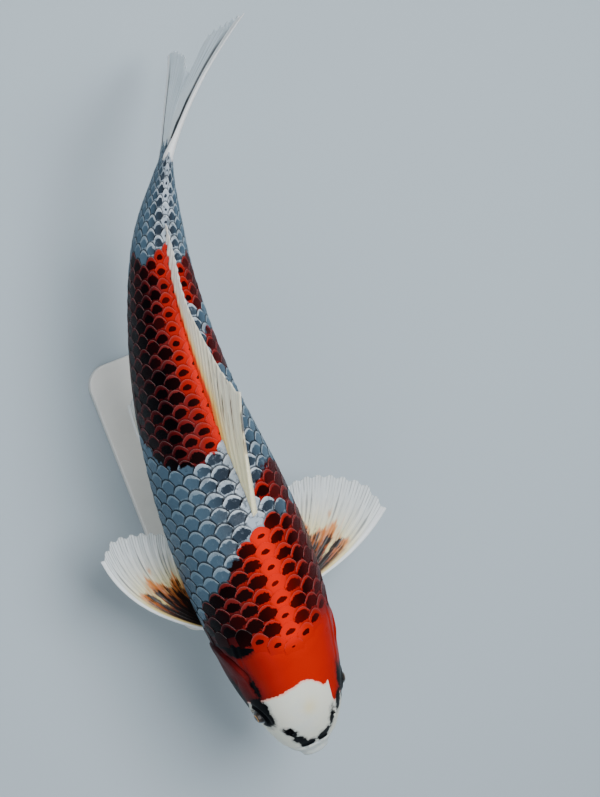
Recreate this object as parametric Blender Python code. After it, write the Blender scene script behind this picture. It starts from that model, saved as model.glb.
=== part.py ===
"""A life-size koi carp, swimming in a gentle left turn, on a plain display stand.

The fish is drawn straight first. A point of the straight fish is (along, side, up): along is the
distance back from the tip of the snout, side is to the fish's left, and up is above the body's axis,
which runs through the middle of the tail stalk. pose() then rolls each section a little and lays the
axis along the plan curve of the swimming fish. Its head and trunk face -Y, its left is +X, and its
tail swings to +X. All sizes are in metres.
"""

import bmesh
import bpy
import numpy as np

MM = 0.001
GAP = 0.3 * MM  # the clearance that neighbouring pieces keep

# ---- driving dimensions of the fish ----
AXIS_HEIGHT = 118 * MM  # of the body's axis over the table
NECK = 104 * MM  # the cut behind the gill covers
WAIST = 214 * MM  # the cut between the front and the rear of the trunk
VENT = 340 * MM  # where the tail stalk begins
TAIL_ROOT = 432 * MM  # where the tail fin begins

# Sections of the straight body: along, middle, half width, rise to the back, drop to the belly.
SECTIONS = np.array([
    (0.0, -15.0, 0.0, 0.0, 0.0),
    (2.0, -14.6, 6.8, 4.8, 4.6),
    (6.0, -13.2, 12.2, 10.2, 9.6),
    (12.0, -11.0, 17.6, 15.8, 15.0),
    (22.0, -7.0, 23.8, 22.6, 22.6),
    (38.0, -2.5, 30.2, 30.2, 32.0),
    (60.0, 0.0, 35.6, 38.2, 41.5),
    (88.0, 0.0, 40.4, 46.4, 49.6),
    (120.0, 0.0, 43.4, 53.0, 56.0),
    (160.0, 0.0, 44.2, 57.4, 60.0),
    (205.0, 0.0, 41.2, 58.2, 60.0),
    (255.0, 0.0, 34.8, 52.2, 53.6),
    (305.0, 0.0, 28.2, 42.0, 43.0),
    (350.0, 0.0, 21.8, 32.2, 32.6),
    (390.0, 0.0, 14.6, 25.8, 26.2),
    (415.0, 0.0, 8.0, 24.6, 25.2),
    (432.0, 0.0, 3.8, 25.8, 26.4),
]) * MM

# The plan curve: along, and the direction of the axis there, in degrees from +Y towards +X.
HEADINGS = np.array([
    (-30.0, -5.0),
    (40.0, -1.0),
    (100.0, 0.5),
    (180.0, -1.0),
    (250.0, 2.6),
    (300.0, 9.0),
    (345.0, 14.0),
    (385.0, 23.2),
    (432.0, 30.0),
    (475.0, 41.0),
    (515.0, 47.0),
    (570.0, 44.0),
])

# The bank of each section into the turn: along, and degrees by which the back leans to the left.
BANKS = np.array([
    (0.0, 0.0),
    (60.0, 1.0),
    (150.0, 4.5),
    (250.0, 4.5),
    (340.0, 2.0),
    (432.0, -6.5),
    (570.0, -5.0),
])

# ---- the pieces on the head ----
EYE_PLACE = np.array([46.5, 28.6, 6.0]) * MM  # its centre, on the fish's left
EYE_RADIUS = 6.2 * MM
GILL_COVER = (81.5 * MM, -7.0 * MM, 20.0 * MM, 30.0 * MM)  # along, up, and its two half sizes
GILL_COVER_SLANT = 14.0  # degrees that its top leans forwards
GILL_COVER_DEPTH = 28.0 * MM  # from the middle of the head to its inner face
LOWER_JAW = ((-8, -15.6), (4, -16.0), (16, -18.5), (25, -23.5), (29, -32), (27, -56), (-8, -56))
LOWER_JAW_NARROWEST = 18 * MM  # from the middle of that outline to its nearest side
HEAD_REACH = 60 * MM  # sideways, past the widest part of the head
BARBELS = {
    "upper": ((9.5, 12.0, -15.0), (13.0, 16.0, -24.0), (19.0, 18.5, -27.0), 1.1),
    "corner": ((19.0, 17.0, -21.0), (27.0, 22.5, -33.0), (38.0, 25.0, -39.0), 1.5),
}

# ---- the stand ----
BASE_SIZE = (80 * MM, 214 * MM)
BASE_THICKNESS = 9 * MM
BASE_CORNER = 16 * MM
BASE_EDGE = 1.2 * MM
ROD_RADIUS = 3.5 * MM
ROD_FOOT_RADIUS = 9 * MM
ROD_FOOT_HEIGHT = 4 * MM
ROD_PLACES = {"front": 132 * MM, "rear": 262 * MM}  # along the fish
STAND_MIDDLE = 197 * MM  # along the fish

RING_SIDES = 32
RING_STEP = 9 * MM

COLOURS = {  # name: colour, roughness, metallic
    "head_skin": ((0.62, 0.07, 0.03), 0.35, 0.0),
    "scaled_skin": ((0.35, 0.16, 0.13), 0.35, 0.0),
    "fin": ((0.80, 0.78, 0.72), 0.40, 0.0),
    "eye": ((0.02, 0.02, 0.02), 0.08, 0.0),
    "barbel": ((0.70, 0.55, 0.50), 0.40, 0.0),
    "stand_paint": ((0.78, 0.78, 0.76), 0.45, 0.0),
    "stand_steel": ((0.60, 0.60, 0.60), 0.30, 1.0),
}


# ---- curves and the two maps: section to straight fish, straight fish to pose ----

def spline(knots, values, at):
    """A natural cubic spline through values, which may have several columns, read at the places at."""
    knots, values = np.asarray(knots, float), np.asarray(values, float)
    steps = np.diff(knots)
    count = len(knots)
    system = np.eye(count)
    right = np.zeros_like(values)
    slopes = (np.diff(values, axis=0).T / steps).T
    for i in range(1, count - 1):
        system[i, i - 1 : i + 2] = steps[i - 1], 2 * (steps[i - 1] + steps[i]), steps[i]
        right[i] = 6 * (slopes[i] - slopes[i - 1])
    bends = np.linalg.solve(system, right)
    at = np.clip(np.asarray(at, float), knots[0], knots[-1])
    i = np.clip(np.searchsorted(knots, at) - 1, 0, count - 2)
    step = steps[i]
    a, b = (knots[i + 1] - at) / step, (at - knots[i]) / step
    if values.ndim > 1:
        a, b, step = a[..., None], b[..., None], step[..., None]
    cubes = (a**3 - a) * bends[i] + (b**3 - b) * bends[i + 1]
    return a * values[i] + b * values[i + 1] + cubes * step**2 / 6


# Distance along the outline seen from above, which grows evenly even where the snout is blunt.
TRACE = np.concatenate([[0], np.cumsum(np.linalg.norm(np.diff(SECTIONS[:, [0, 2]], axis=0), axis=1))])
TRACE_FINE = np.linspace(0, TRACE[-1], 900)
ALONG_FINE = spline(TRACE, SECTIONS[:, 0], TRACE_FINE)

AXIS_STEP = 1 * MM
AXIS_AT = np.arange(-30 * MM, 580 * MM, AXIS_STEP)
AXIS_HEADING = np.radians(spline(HEADINGS[:, 0] * MM, HEADINGS[:, 1], AXIS_AT))
AXIS_X = np.cumsum(np.sin(AXIS_HEADING)) * AXIS_STEP
AXIS_Y = np.cumsum(np.cos(AXIS_HEADING)) * AXIS_STEP


def trace_at(along):
    """The trace distance whose section lies at this place along the fish."""
    return np.interp(along, ALONG_FINE, TRACE_FINE)


def bump(x, middle, width):
    """A bell curve, 1 at the middle."""
    return np.exp(-(((x - middle) / width) ** 2))


def body_point(trace, turn, grow=0.0):
    """The straight body's surface, at a trace distance and an angle from the fish's left over its back.

    Each section is nearly two half ellipses, one over the other, and a little fuller. Added to it are
    the cheek, the sides of the crown and the lips, each a bell curve.
    """
    along, middle, half, rise, drop = np.moveaxis(spline(TRACE, SECTIONS, trace), -1, 0)
    c, s = np.cos(turn), np.sin(turn)
    fullness = 0.93
    half, rise, drop = (np.maximum(size, 0) + grow for size in (half, rise, drop))
    side = half * np.sign(c) * np.abs(c) ** fullness
    up = middle + np.where(s > 0, rise, drop) * np.sign(s) * np.abs(s) ** fullness
    side = side + 1.6 * MM * bump(along, 74 * MM, 24 * MM) * bump(up, -14 * MM, 20 * MM) * c
    up = up + 1.5 * MM * bump(along, 44 * MM, 22 * MM) * np.where(s > 0, 2 * np.abs(c * s), 0)
    lip = 1.1 * MM * bump(trace, 7.0 * MM, 3 * MM) - 0.6 * MM * bump(trace, 13.0 * MM, 3 * MM)
    return np.stack(np.broadcast_arrays(along - 0.8 * lip, side + lip * c, up + lip * s), -1)


def pose(points):
    """The straight fish's (along, side, up), rolled and laid along the plan curve, as x, y, z."""
    along, side, up = np.moveaxis(np.asarray(points, float), -1, 0)
    bank = np.radians(spline(BANKS[:, 0] * MM, BANKS[:, 1], along))
    side, up = side * np.cos(bank) + up * np.sin(bank), up * np.cos(bank) - side * np.sin(bank)
    heading = np.interp(along, AXIS_AT, AXIS_HEADING)
    x = np.interp(along, AXIS_AT, AXIS_X) + side * np.cos(heading)
    y = np.interp(along, AXIS_AT, AXIS_Y) - side * np.sin(heading)
    return np.stack([x, y, up + AXIS_HEIGHT], -1)


# ---- making solids ----

def paint(name):
    """The material of this name, made once."""
    material = bpy.data.materials.get(name)
    if material is None:
        colour, roughness, metallic = COLOURS[name]
        material = bpy.data.materials.new(name)
        material.use_nodes = True
        shader = material.node_tree.nodes["Principled BSDF"]
        shader.inputs["Base Color"].default_value = (*colour, 1)
        shader.inputs["Roughness"].default_value = roughness
        shader.inputs["Metallic"].default_value = metallic
    return material


def solid(name, points, faces, material):
    """An object from a closed mesh, with its faces turned outwards."""
    mesh = bpy.data.meshes.new(name)
    mesh.from_pydata([tuple(p) for p in points], [], [tuple(f) for f in faces])
    work = bmesh.new()
    work.from_mesh(mesh)
    bmesh.ops.recalc_face_normals(work, faces=work.faces)
    work.to_mesh(mesh)
    work.free()
    mesh.shade_smooth()
    mesh.set_sharp_from_angle(angle=np.radians(40))
    mesh.materials.append(paint(material))
    made = bpy.data.objects.new(name, mesh)
    bpy.context.scene.collection.objects.link(made)
    return made


def loft(name, rings, material):
    """A solid through closed rings[i, j], with a flat cap on each end."""
    count, sides = rings.shape[:2]
    at = np.arange(count * sides).reshape(count, sides)
    after = np.roll(at, -1, axis=1)
    walls = np.stack([at[:-1], after[:-1], after[1:], at[1:]], -1).reshape(-1, 4)
    faces = [*walls.tolist(), at[0, ::-1].tolist(), at[-1].tolist()]
    return solid(name, rings.reshape(-1, 3), faces, material)


def plate(name, middle, thickness, material):
    """A thin solid either side of the surface middle[i, j], closed by a wall round its edge."""
    across = np.cross(np.gradient(middle, axis=0), np.gradient(middle, axis=1))
    across /= np.linalg.norm(across, axis=-1, keepdims=True)
    shift = across * thickness[..., None] / 2
    rows, columns = middle.shape[:2]
    at = np.arange(rows * columns).reshape(rows, columns)
    sheet = np.stack([at[:-1, :-1], at[1:, :-1], at[1:, 1:], at[:-1, 1:]], -1).reshape(-1, 4)
    rim = np.concatenate([at[0, :-1], at[:-1, -1], at[-1, :0:-1], at[:0:-1, 0]])
    rim_after = np.roll(rim, -1)
    under = rows * columns
    wall = np.stack([rim, rim_after, rim_after + under, rim + under], -1)
    points = np.concatenate([(middle + shift).reshape(-1, 3), (middle - shift).reshape(-1, 3)])
    faces = [*sheet.tolist(), *(sheet[:, ::-1] + under).tolist(), *wall.tolist()]
    return solid(name, points, faces, material)


def tube(name, path, radii, sides, material):
    """A round tube along path[i] with a radius at each point."""
    forward = np.gradient(path, axis=0)
    forward /= np.linalg.norm(forward, axis=-1, keepdims=True)
    first = np.cross(forward, (0.0, 0.31, 0.95))
    first /= np.linalg.norm(first, axis=-1, keepdims=True)
    second = np.cross(forward, first)
    turn = np.linspace(0, 2 * np.pi, sides, endpoint=False)[None, :, None]
    ring = np.cos(turn) * first[:, None] + np.sin(turn) * second[:, None]
    return loft(name, path[:, None] + ring * radii[:, None, None], material)


def cutter(made):
    """Mark an object as a cutter, which is no piece of the fish."""
    made.hide_render = True
    made.display_type = "WIRE"
    return made


def cut(made, tool, operation="DIFFERENCE"):
    """Cut an object with another by an exact Boolean."""
    modifier = made.modifiers.new(tool.name, "BOOLEAN")
    modifier.solver = "EXACT"
    modifier.operation = operation
    modifier.object = tool


# ---- flesh ----

def body_rings(start, end, grow=0.0):
    """Posed rings of the body between two places along it."""
    first, last = trace_at(start), trace_at(end)
    count = max(3, int(round((last - first) / RING_STEP)) + 1)
    trace = np.linspace(first, last, count)
    if start < 1 * MM:
        snout = [1.2, 4.0, 7.0, 10.0, 13.0, 17.0, 22.0]
        trace = np.concatenate([snout, np.arange(28, last / MM - 3, 6.5), [last / MM]]) * MM
    turn = np.linspace(0, 2 * np.pi, RING_SIDES, endpoint=False) + np.pi / RING_SIDES
    return pose(body_point(trace[:, None], turn[None, :], grow))


def ball(name, centre, radius, material, rows=10, sides=16):
    """A posed sphere from rings between its two poles."""
    tilt = np.linspace(0.06, np.pi - 0.06, rows)[:, None]
    turn = np.linspace(0, 2 * np.pi, sides, endpoint=False)[None, :]
    unit = np.stack([np.sin(tilt) * np.cos(turn), np.cos(tilt) + 0 * turn, np.sin(tilt) * np.sin(turn)], -1)
    return loft(name, pose(centre + radius * unit), material)


def prism(name, outline, sides):
    """A posed prism across the fish, from its outline in (along, up) and the two sides that it spans."""
    rings = np.empty((2, len(outline), 3))
    rings[..., 0] = outline[:, 0]
    rings[..., 1] = np.array(sides)[:, None]
    rings[..., 2] = outline[:, 1]
    return cutter(loft(name, pose(rings), "head_skin"))


def gill_prism(name, hand, grow):
    """A prism through one cheek in the outline of the gill cover: an ellipse, leaning forwards."""
    along, up, half_length, half_height = GILL_COVER
    turn = np.linspace(0, 2 * np.pi, 26, endpoint=False)
    a = (half_length + grow) * np.cos(turn)
    b = (half_height + grow) * np.sin(turn)
    slant = np.radians(GILL_COVER_SLANT)
    outline_along = along + a * np.cos(slant) - b * np.sin(slant)
    outline_up = up + b * np.cos(slant) + a * np.sin(slant)
    sides = (hand * (GILL_COVER_DEPTH - grow), hand * HEAD_REACH)
    return prism(name, np.column_stack([outline_along, outline_up]), sides)


def jaw_prism(name, grow):
    """A prism across the head round the lower jaw, from the slit of the mouth down to the throat."""
    outline = np.array(LOWER_JAW) * MM
    centre = outline.mean(axis=0)
    outline = centre + (outline - centre) * (1 + grow / LOWER_JAW_NARROWEST)
    return prism(name, outline, (-HEAD_REACH, HEAD_REACH))


def make_head():
    """The head, with its lower jaw, gill covers and eyes as pieces of their own."""
    rings = body_rings(0, NECK - GAP / 2)
    head = loft("head", rings, "head_skin")
    jaw = loft("lower_jaw", rings, "head_skin")
    cut(jaw, jaw_prism("jaw_shape", 0), "INTERSECT")
    cut(head, jaw_prism("jaw_pocket", GAP))
    for side, hand in (("left", 1), ("right", -1)):
        cover = loft(f"gill_cover_{side}", rings, "head_skin")
        cut(cover, gill_prism(f"gill_cover_shape_{side}", hand, 0), "INTERSECT")
        cut(head, gill_prism(f"gill_cover_pocket_{side}", hand, GAP))
        place = EYE_PLACE * (1, hand, 1)
        ball(f"eye_{side}", place, EYE_RADIUS, "eye")
        cut(head, cutter(ball(f"eye_socket_{side}", place, EYE_RADIUS + GAP, "eye")))


def make_trunk():
    """The trunk in two lengths, and the tail stalk."""
    loft("trunk_front", body_rings(NECK + GAP / 2, WAIST - GAP / 2), "scaled_skin")
    loft("trunk_rear", body_rings(WAIST + GAP / 2, VENT - GAP / 2), "scaled_skin")
    loft("tail_stalk", body_rings(VENT + GAP / 2, TAIL_ROOT), "scaled_skin")


# ---- fins: fans of rays, u across the rays from 0 to 1 and v along them from root to margin ----

FIN_SINK = 4 * MM  # how deep a fin's root is drawn inside the body, before the body's form trims it
TAIL_SINK = 2 * MM  # how far before the end of the tail stalk its fin is drawn from, before it is trimmed

DORSAL = {"roots": (176, 378), "tips": (266, 384), "height": 37, "lean": (8, 16)}
ANAL = {"roots": (338, 366), "tips": (378, 386), "height": 36, "lean": (2, 10)}
# Of each lobe's rays, from its edge to the middle: root heights, angles over the axis and lengths, and
# then how far its tip swings aside, how that grows along a ray, and how fast it fades from the edge.
TAIL_LOBES = {
    "upper": ((25.0, 0.25), (29, 3), (105, 62), (16.5, 0.85, 2.6)),
    "lower": ((-25.6, -0.25), (-31, -3), (107, 62), (-22, 1.5, 1.0)),
}
# Places along the body of the root's ends, angles round the body, and the rays' lengths.
PECTORAL = {"roots": (106, 118), "turns": (-30, -48), "lengths": (93, 95, 34)}
PELVIC = {"roots": (212, 224), "turns": (-58, -72), "lengths": (60, 62, 30)}
# Sweep back from straight out and droop of the first and last rays, and the bow along each ray, in degrees;
# then how much longer the middle rays are, in millimetres.
POSES_OF_PAIRED_FINS = {
    "pectoral_fin_left": ((5, 84), (9, 16), 12, 8),
    "pectoral_fin_right": ((34, 96), (14, 18), 22, 0),
    "pelvic_fin_left": ((82, 106), (22, 18), 6, 0),
    "pelvic_fin_right": ((80, 108), (18, 16), 6, 0),
}


def between(ends, t):
    return ends[0] + (ends[1] - ends[0]) * t


def fan_grid(rows, columns):
    return np.meshgrid(np.linspace(0, 1, rows), np.linspace(0, 1, columns), indexing="ij")


def ridge_fin_point(shape, u, v, sign):
    """A point of the dorsal fin (sign 1) or the anal fin (sign -1), whose roots follow the body's midline.

    Each ray runs back from its root while it rises, and the fin leans to the left more towards its margin.
    """
    root, tip = between(shape["roots"], u) * MM, between(shape["tips"], u**0.9) * MM
    height = (shape["height"] * (0.5 * (1 - u) + 0.5 * (1 - u) ** 8) + 2.0) * MM
    along = root + (tip - root) * v
    rise = -FIN_SINK + (height + FIN_SINK) * v
    ridge = body_point(trace_at(along), np.full_like(along, sign * np.pi / 2))[..., 2]
    lean = np.radians(between(shape["lean"], v))
    return np.stack([along, rise * np.sin(lean), ridge + sign * rise * np.cos(lean)], -1)


def tail_point(lobe, u, v):
    """A point of one lobe of the tail fin: rays fan out from the root, longest at the lobe's outer edge."""
    heights, angles, lengths, (swing, growth, fading) = lobe
    length = (lengths[1] + (lengths[0] - lengths[1]) * (1 - u**1.15)) * MM * v
    angle = np.radians(angles[1] + (angles[0] - angles[1]) * (1 - u) ** 1.2)
    up = between(heights, u) * MM + length * np.sin(angle)
    side = swing * MM * v**growth * (1 - u) ** fading
    return np.stack([TAIL_ROOT - TAIL_SINK + length * np.cos(angle), side, up], -1)


def paired_point(shape, setting, u, v):
    """A point of a left fin: rays fan from a short root low on the flank, swept back and drooping."""
    (sweeps, droops, bow, bulge), (first, longest, last) = setting, shape["lengths"]
    turn = np.radians(between(shape["turns"], u))
    root = body_point(trace_at(between(shape["roots"], u) * MM), turn)
    root = root - FIN_SINK * np.stack([0 * u, np.cos(turn), np.sin(turn)], -1)
    shorter = (1 - u) / 0.85
    length = np.where(u < 0.15, between((first, longest), u / 0.15), between((last, longest), shorter))
    length = length + bulge * np.sin(np.pi * u) ** 2
    sweep = np.radians(between(sweeps, u) + bow * v**1.5)
    droop = np.radians(between(droops, u) - 6 * v)
    ray = np.stack([np.sin(sweep) * np.cos(droop), np.cos(sweep) * np.cos(droop), -np.sin(droop)], -1)
    return root + ray * (length * v)[..., None] * MM


def make_fins(body_form):
    """All the fins, each trimmed where it meets the body."""
    def tapered(u, v, root, margin, edge):
        return (margin + (root - margin) * (1 - v) ** 1.5 + edge * np.exp(-u * 9) * (1 - v)) * MM

    u, v = fan_grid(17, 6)
    dorsal = plate("dorsal_fin", pose(ridge_fin_point(DORSAL, u, v, 1)), tapered(u, v, 3.2, 0.7, 1.2), "fin")
    u, v = fan_grid(8, 6)
    anal = plate("anal_fin", pose(ridge_fin_point(ANAL, u, v, -1)), tapered(u, v, 2.8, 0.7, 1.0), "fin")
    corners = ((-12 * MM, -36 * MM), (GAP, -36 * MM), (GAP, 36 * MM), (-12 * MM, 36 * MM))
    stalk_form = prism("stalk_form", np.array(corners) + (TAIL_ROOT, 0), (-15 * MM, 15 * MM))
    for name, lobe in TAIL_LOBES.items():
        u, v = fan_grid(9, 10)
        points = pose(tail_point(lobe, u, v))
        cut(plate(f"tail_fin_{name}", points, tapered(u, v, 7.2, 0.8, 0.4), "fin"), stalk_form)
    trimmed = [dorsal, anal]
    for name, setting in POSES_OF_PAIRED_FINS.items():
        shape = PECTORAL if name.startswith("pectoral") else PELVIC
        u, v = fan_grid(10, 8)
        points = paired_point(shape, setting, u, v) * (1, -1 if name.endswith("right") else 1, 1)
        trimmed.append(plate(name, pose(points), tapered(u, v, 3.4, 0.7, 1.2), "fin"))
    for fin in trimmed:
        cut(fin, body_form)


def make_barbels(body_form):
    """Two pairs of barbels, tapered tubes along a curve through three points."""
    t = np.linspace(0, 1, 7)
    for name, (root, middle, tip, radius) in BARBELS.items():
        path = spline([0, 0.5, 1], np.array([root, middle, tip]) * MM, t)
        for side, hand in (("left", 1), ("right", -1)):
            radii = radius * MM * (1 - 0.6 * t)
            cut(tube(f"barbel_{name}_{side}", pose(path * (1, hand, 1)), radii, 8, "barbel"), body_form)


# ---- the stand ----

def rounded_rectangle(size, corner, shrink):
    """The outline of a rectangle with round corners, drawn in by shrink, anticlockwise."""
    half = np.array(size) / 2 - corner
    turn = np.linspace(0, np.pi / 2, 7)
    arcs = []
    for quarter, (sx, sy) in enumerate(((1, 1), (-1, 1), (-1, -1), (1, -1))):
        angle = turn + quarter * np.pi / 2
        arcs.append(np.stack([np.cos(angle), np.sin(angle)], -1) * (corner - shrink) + half * (sx, sy))
    return np.concatenate(arcs)


def make_stand(body_form):
    """A flat base with softened edges, and two rods with round feet up to the belly."""
    middle = pose(np.array([STAND_MIDDLE, 0, 0]))
    levels = ((0, 0), (BASE_THICKNESS - BASE_EDGE, 0), (BASE_THICKNESS, BASE_EDGE))
    rings = []
    for level, shrink in levels:
        outline = rounded_rectangle(BASE_SIZE, BASE_CORNER, shrink)
        rings.append(np.column_stack([outline + middle[:2], np.full(len(outline), level)]))
    loft("stand_base", np.array(rings), "stand_paint")
    for name, along in ROD_PLACES.items():
        foot = pose(np.array([along, 0, -50 * MM]))
        start = BASE_THICKNESS + GAP
        profile = [
            (ROD_FOOT_RADIUS, start),
            (ROD_FOOT_RADIUS, start + ROD_FOOT_HEIGHT - 1 * MM),
            (ROD_FOOT_RADIUS - 1 * MM, start + ROD_FOOT_HEIGHT),
            (ROD_RADIUS, start + ROD_FOOT_HEIGHT),
            (ROD_RADIUS, foot[2]),
        ]
        turn = np.linspace(0, 2 * np.pi, 20, endpoint=False)
        circle = np.stack([np.cos(turn), np.sin(turn), 0 * turn], -1)
        rings = [circle * radius + (foot[0], foot[1], height) for radius, height in profile]
        cut(loft(f"stand_rod_{name}", np.array(rings), "stand_steel"), body_form)


def centre_on_origin():
    """Move everything sideways so that the middle of the whole model's box is over the origin."""
    bpy.context.view_layer.update()
    depsgraph = bpy.context.evaluated_depsgraph_get()
    lowest, highest = np.full(3, np.inf), np.full(3, -np.inf)
    for piece in bpy.data.objects:
        if not piece.hide_render:
            mesh = piece.evaluated_get(depsgraph).data
            places = np.empty(len(mesh.vertices) * 3, np.float32)
            mesh.vertices.foreach_get("co", places)
            lowest = np.minimum(lowest, places.reshape(-1, 3).min(axis=0))
            highest = np.maximum(highest, places.reshape(-1, 3).max(axis=0))
    middle = (lowest + highest) / 2
    for piece in bpy.data.objects:
        piece.location = (-middle[0], -middle[1], 0)


def main():
    for old in list(bpy.data.objects):
        bpy.data.objects.remove(old, do_unlink=True)
    body_form = cutter(loft("body_form", body_rings(0, TAIL_ROOT, GAP), "scaled_skin"))
    make_head()
    make_trunk()
    make_fins(body_form)
    make_barbels(body_form)
    make_stand(body_form)
    centre_on_origin()


main()
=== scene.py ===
"""Looks of the life-size koi carp: its skin, scales, fins, eyes and barbels, and the display stand.

The fish is drawn straight first and then posed, by the same two maps as its solids. A point of the
straight fish is (along, side, up): along is the distance back from the tip of the snout, side is to
the fish's left, and up is above the body's axis. A place on its surface is (along, turn): turn goes
from 0 at the fish's left over 90 at its back to 180 at its right. Sizes are in metres unless a name
says otherwise; markings and relief are worked out in millimetres and degrees.
"""

import bpy
import numpy as np
from mathutils import Matrix, Vector


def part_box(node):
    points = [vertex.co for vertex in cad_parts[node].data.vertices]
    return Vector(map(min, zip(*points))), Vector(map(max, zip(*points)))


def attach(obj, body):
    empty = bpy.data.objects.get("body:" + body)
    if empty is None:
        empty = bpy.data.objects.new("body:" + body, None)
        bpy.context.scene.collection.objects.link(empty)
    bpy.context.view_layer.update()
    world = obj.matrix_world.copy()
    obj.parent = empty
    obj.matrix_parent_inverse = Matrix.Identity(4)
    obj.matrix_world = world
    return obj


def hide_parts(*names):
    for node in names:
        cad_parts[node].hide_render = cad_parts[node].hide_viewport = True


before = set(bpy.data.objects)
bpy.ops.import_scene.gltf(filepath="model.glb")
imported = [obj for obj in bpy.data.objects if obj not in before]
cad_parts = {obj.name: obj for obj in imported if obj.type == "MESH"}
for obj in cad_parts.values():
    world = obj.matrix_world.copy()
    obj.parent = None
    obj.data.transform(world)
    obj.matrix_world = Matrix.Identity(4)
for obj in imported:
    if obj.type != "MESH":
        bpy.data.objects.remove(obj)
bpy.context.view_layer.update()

MM = 0.001
rng = np.random.default_rng(11)

# ---- the fish's form, as its solids have it ----

AXIS_HEIGHT = 118 * MM
TAIL_ROOT = 432 * MM
STAND_MIDDLE = 197 * MM

# Sections of the straight body: along, middle, half width, rise to the back, drop to the belly.
SECTIONS = np.array([
    (0.0, -15.0, 0.0, 0.0, 0.0),
    (2.0, -14.6, 6.8, 4.8, 4.6),
    (6.0, -13.2, 12.2, 10.2, 9.6),
    (12.0, -11.0, 17.6, 15.8, 15.0),
    (22.0, -7.0, 23.8, 22.6, 22.6),
    (38.0, -2.5, 30.2, 30.2, 32.0),
    (60.0, 0.0, 35.6, 38.2, 41.5),
    (88.0, 0.0, 40.4, 46.4, 49.6),
    (120.0, 0.0, 43.4, 53.0, 56.0),
    (160.0, 0.0, 44.2, 57.4, 60.0),
    (205.0, 0.0, 41.2, 58.2, 60.0),
    (255.0, 0.0, 34.8, 52.2, 53.6),
    (305.0, 0.0, 28.2, 42.0, 43.0),
    (350.0, 0.0, 21.8, 32.2, 32.6),
    (390.0, 0.0, 14.6, 25.8, 26.2),
    (415.0, 0.0, 8.0, 24.6, 25.2),
    (432.0, 0.0, 3.8, 25.8, 26.4),
]) * MM

# The plan curve: along, and the direction of the axis there, in degrees from +Y towards +X.
HEADINGS = np.array([
    (-30.0, -5.0), (40.0, -1.0), (100.0, 0.5), (180.0, -1.0), (250.0, 2.6), (300.0, 9.0),
    (345.0, 14.0), (385.0, 23.2), (432.0, 30.0), (475.0, 41.0), (515.0, 47.0), (570.0, 44.0),
])
# The bank of each section into the turn: along, and degrees by which the back leans to the left.
BANKS = np.array([
    (0.0, 0.0), (60.0, 1.0), (150.0, 4.5), (250.0, 4.5), (340.0, 2.0), (432.0, -6.5), (570.0, -5.0),
])

CREST_TURN = 93  # the turn of the head's middle line over the crown
EYE_PLACE = np.array([46.5, 28.6, 6.0]) * MM
EYE_RADIUS = 6.2 * MM
GILL_COVER = (81.5, -7.0, 20.0, 30.0, 14.0)  # along, up, half length, half height, slant in degrees
# Barbels: the root, middle and tip of the left one, and its radius, in millimetres.
BARBELS = {
    "upper": ((9.5, 12.0, -15.0), (13.0, 16.0, -24.0), (19.0, 18.5, -27.0), 1.1),
    "corner": ((19.0, 17.0, -21.0), (27.0, 22.5, -33.0), (38.0, 25.0, -39.0), 1.5),
}

FIN_SINK = 4 * MM
TAIL_SINK = 2 * MM
DORSAL = {"roots": (176, 378), "tips": (266, 384), "height": 37, "lean": (8, 16)}
ANAL = {"roots": (338, 366), "tips": (378, 386), "height": 36, "lean": (2, 10)}
TAIL_LOBES = {
    "upper": ((25.0, 0.25), (29, 3), (105, 62), (16.5, 0.85, 2.6)),
    "lower": ((-25.6, -0.25), (-31, -3), (107, 62), (-22, 1.5, 1.0)),
}
PECTORAL = {"roots": (106, 118), "turns": (-30, -48), "lengths": (93, 95, 34)}
PELVIC = {"roots": (212, 224), "turns": (-58, -72), "lengths": (60, 62, 30)}
# Sweep back from straight out and droop of the first and last rays, and the bow along each ray, in degrees;
# then how much longer the middle rays are, in millimetres.
POSES_OF_PAIRED_FINS = {
    "pectoral_fin_left": ((5, 84), (9, 16), 12, 8),
    "pectoral_fin_right": ((34, 96), (14, 18), 22, 0),
    "pelvic_fin_left": ((82, 106), (22, 18), 6, 0),
    "pelvic_fin_right": ((80, 108), (18, 16), 6, 0),
}

BASE_SIZE = (80 * MM, 214 * MM)
BASE_THICKNESS = 9 * MM
BASE_CORNER = 16 * MM
ROD_RADIUS = 3.5 * MM
ROD_FOOT_RADIUS = 9 * MM
ROD_FOOT_HEIGHT = 4 * MM
ROD_PLACES = {"front": 132 * MM, "rear": 262 * MM}


def spline(knots, values, at):
    """A natural cubic spline through values, which may have several columns, read at the places at."""
    knots, values = np.asarray(knots, float), np.asarray(values, float)
    steps = np.diff(knots)
    count = len(knots)
    system = np.eye(count)
    right = np.zeros_like(values)
    slopes = (np.diff(values, axis=0).T / steps).T
    for i in range(1, count - 1):
        system[i, i - 1 : i + 2] = steps[i - 1], 2 * (steps[i - 1] + steps[i]), steps[i]
        right[i] = 6 * (slopes[i] - slopes[i - 1])
    bends = np.linalg.solve(system, right)
    at = np.clip(np.asarray(at, float), knots[0], knots[-1])
    i = np.clip(np.searchsorted(knots, at) - 1, 0, count - 2)
    step = steps[i]
    a, b = (knots[i + 1] - at) / step, (at - knots[i]) / step
    if values.ndim > 1:
        a, b, step = a[..., None], b[..., None], step[..., None]
    cubes = (a**3 - a) * bends[i] + (b**3 - b) * bends[i + 1]
    return a * values[i] + b * values[i + 1] + cubes * step**2 / 6


TRACE = np.concatenate([[0], np.cumsum(np.linalg.norm(np.diff(SECTIONS[:, [0, 2]], axis=0), axis=1))])
TRACE_FINE = np.linspace(0, TRACE[-1], 900)
ALONG_FINE = spline(TRACE, SECTIONS[:, 0], TRACE_FINE)

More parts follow.
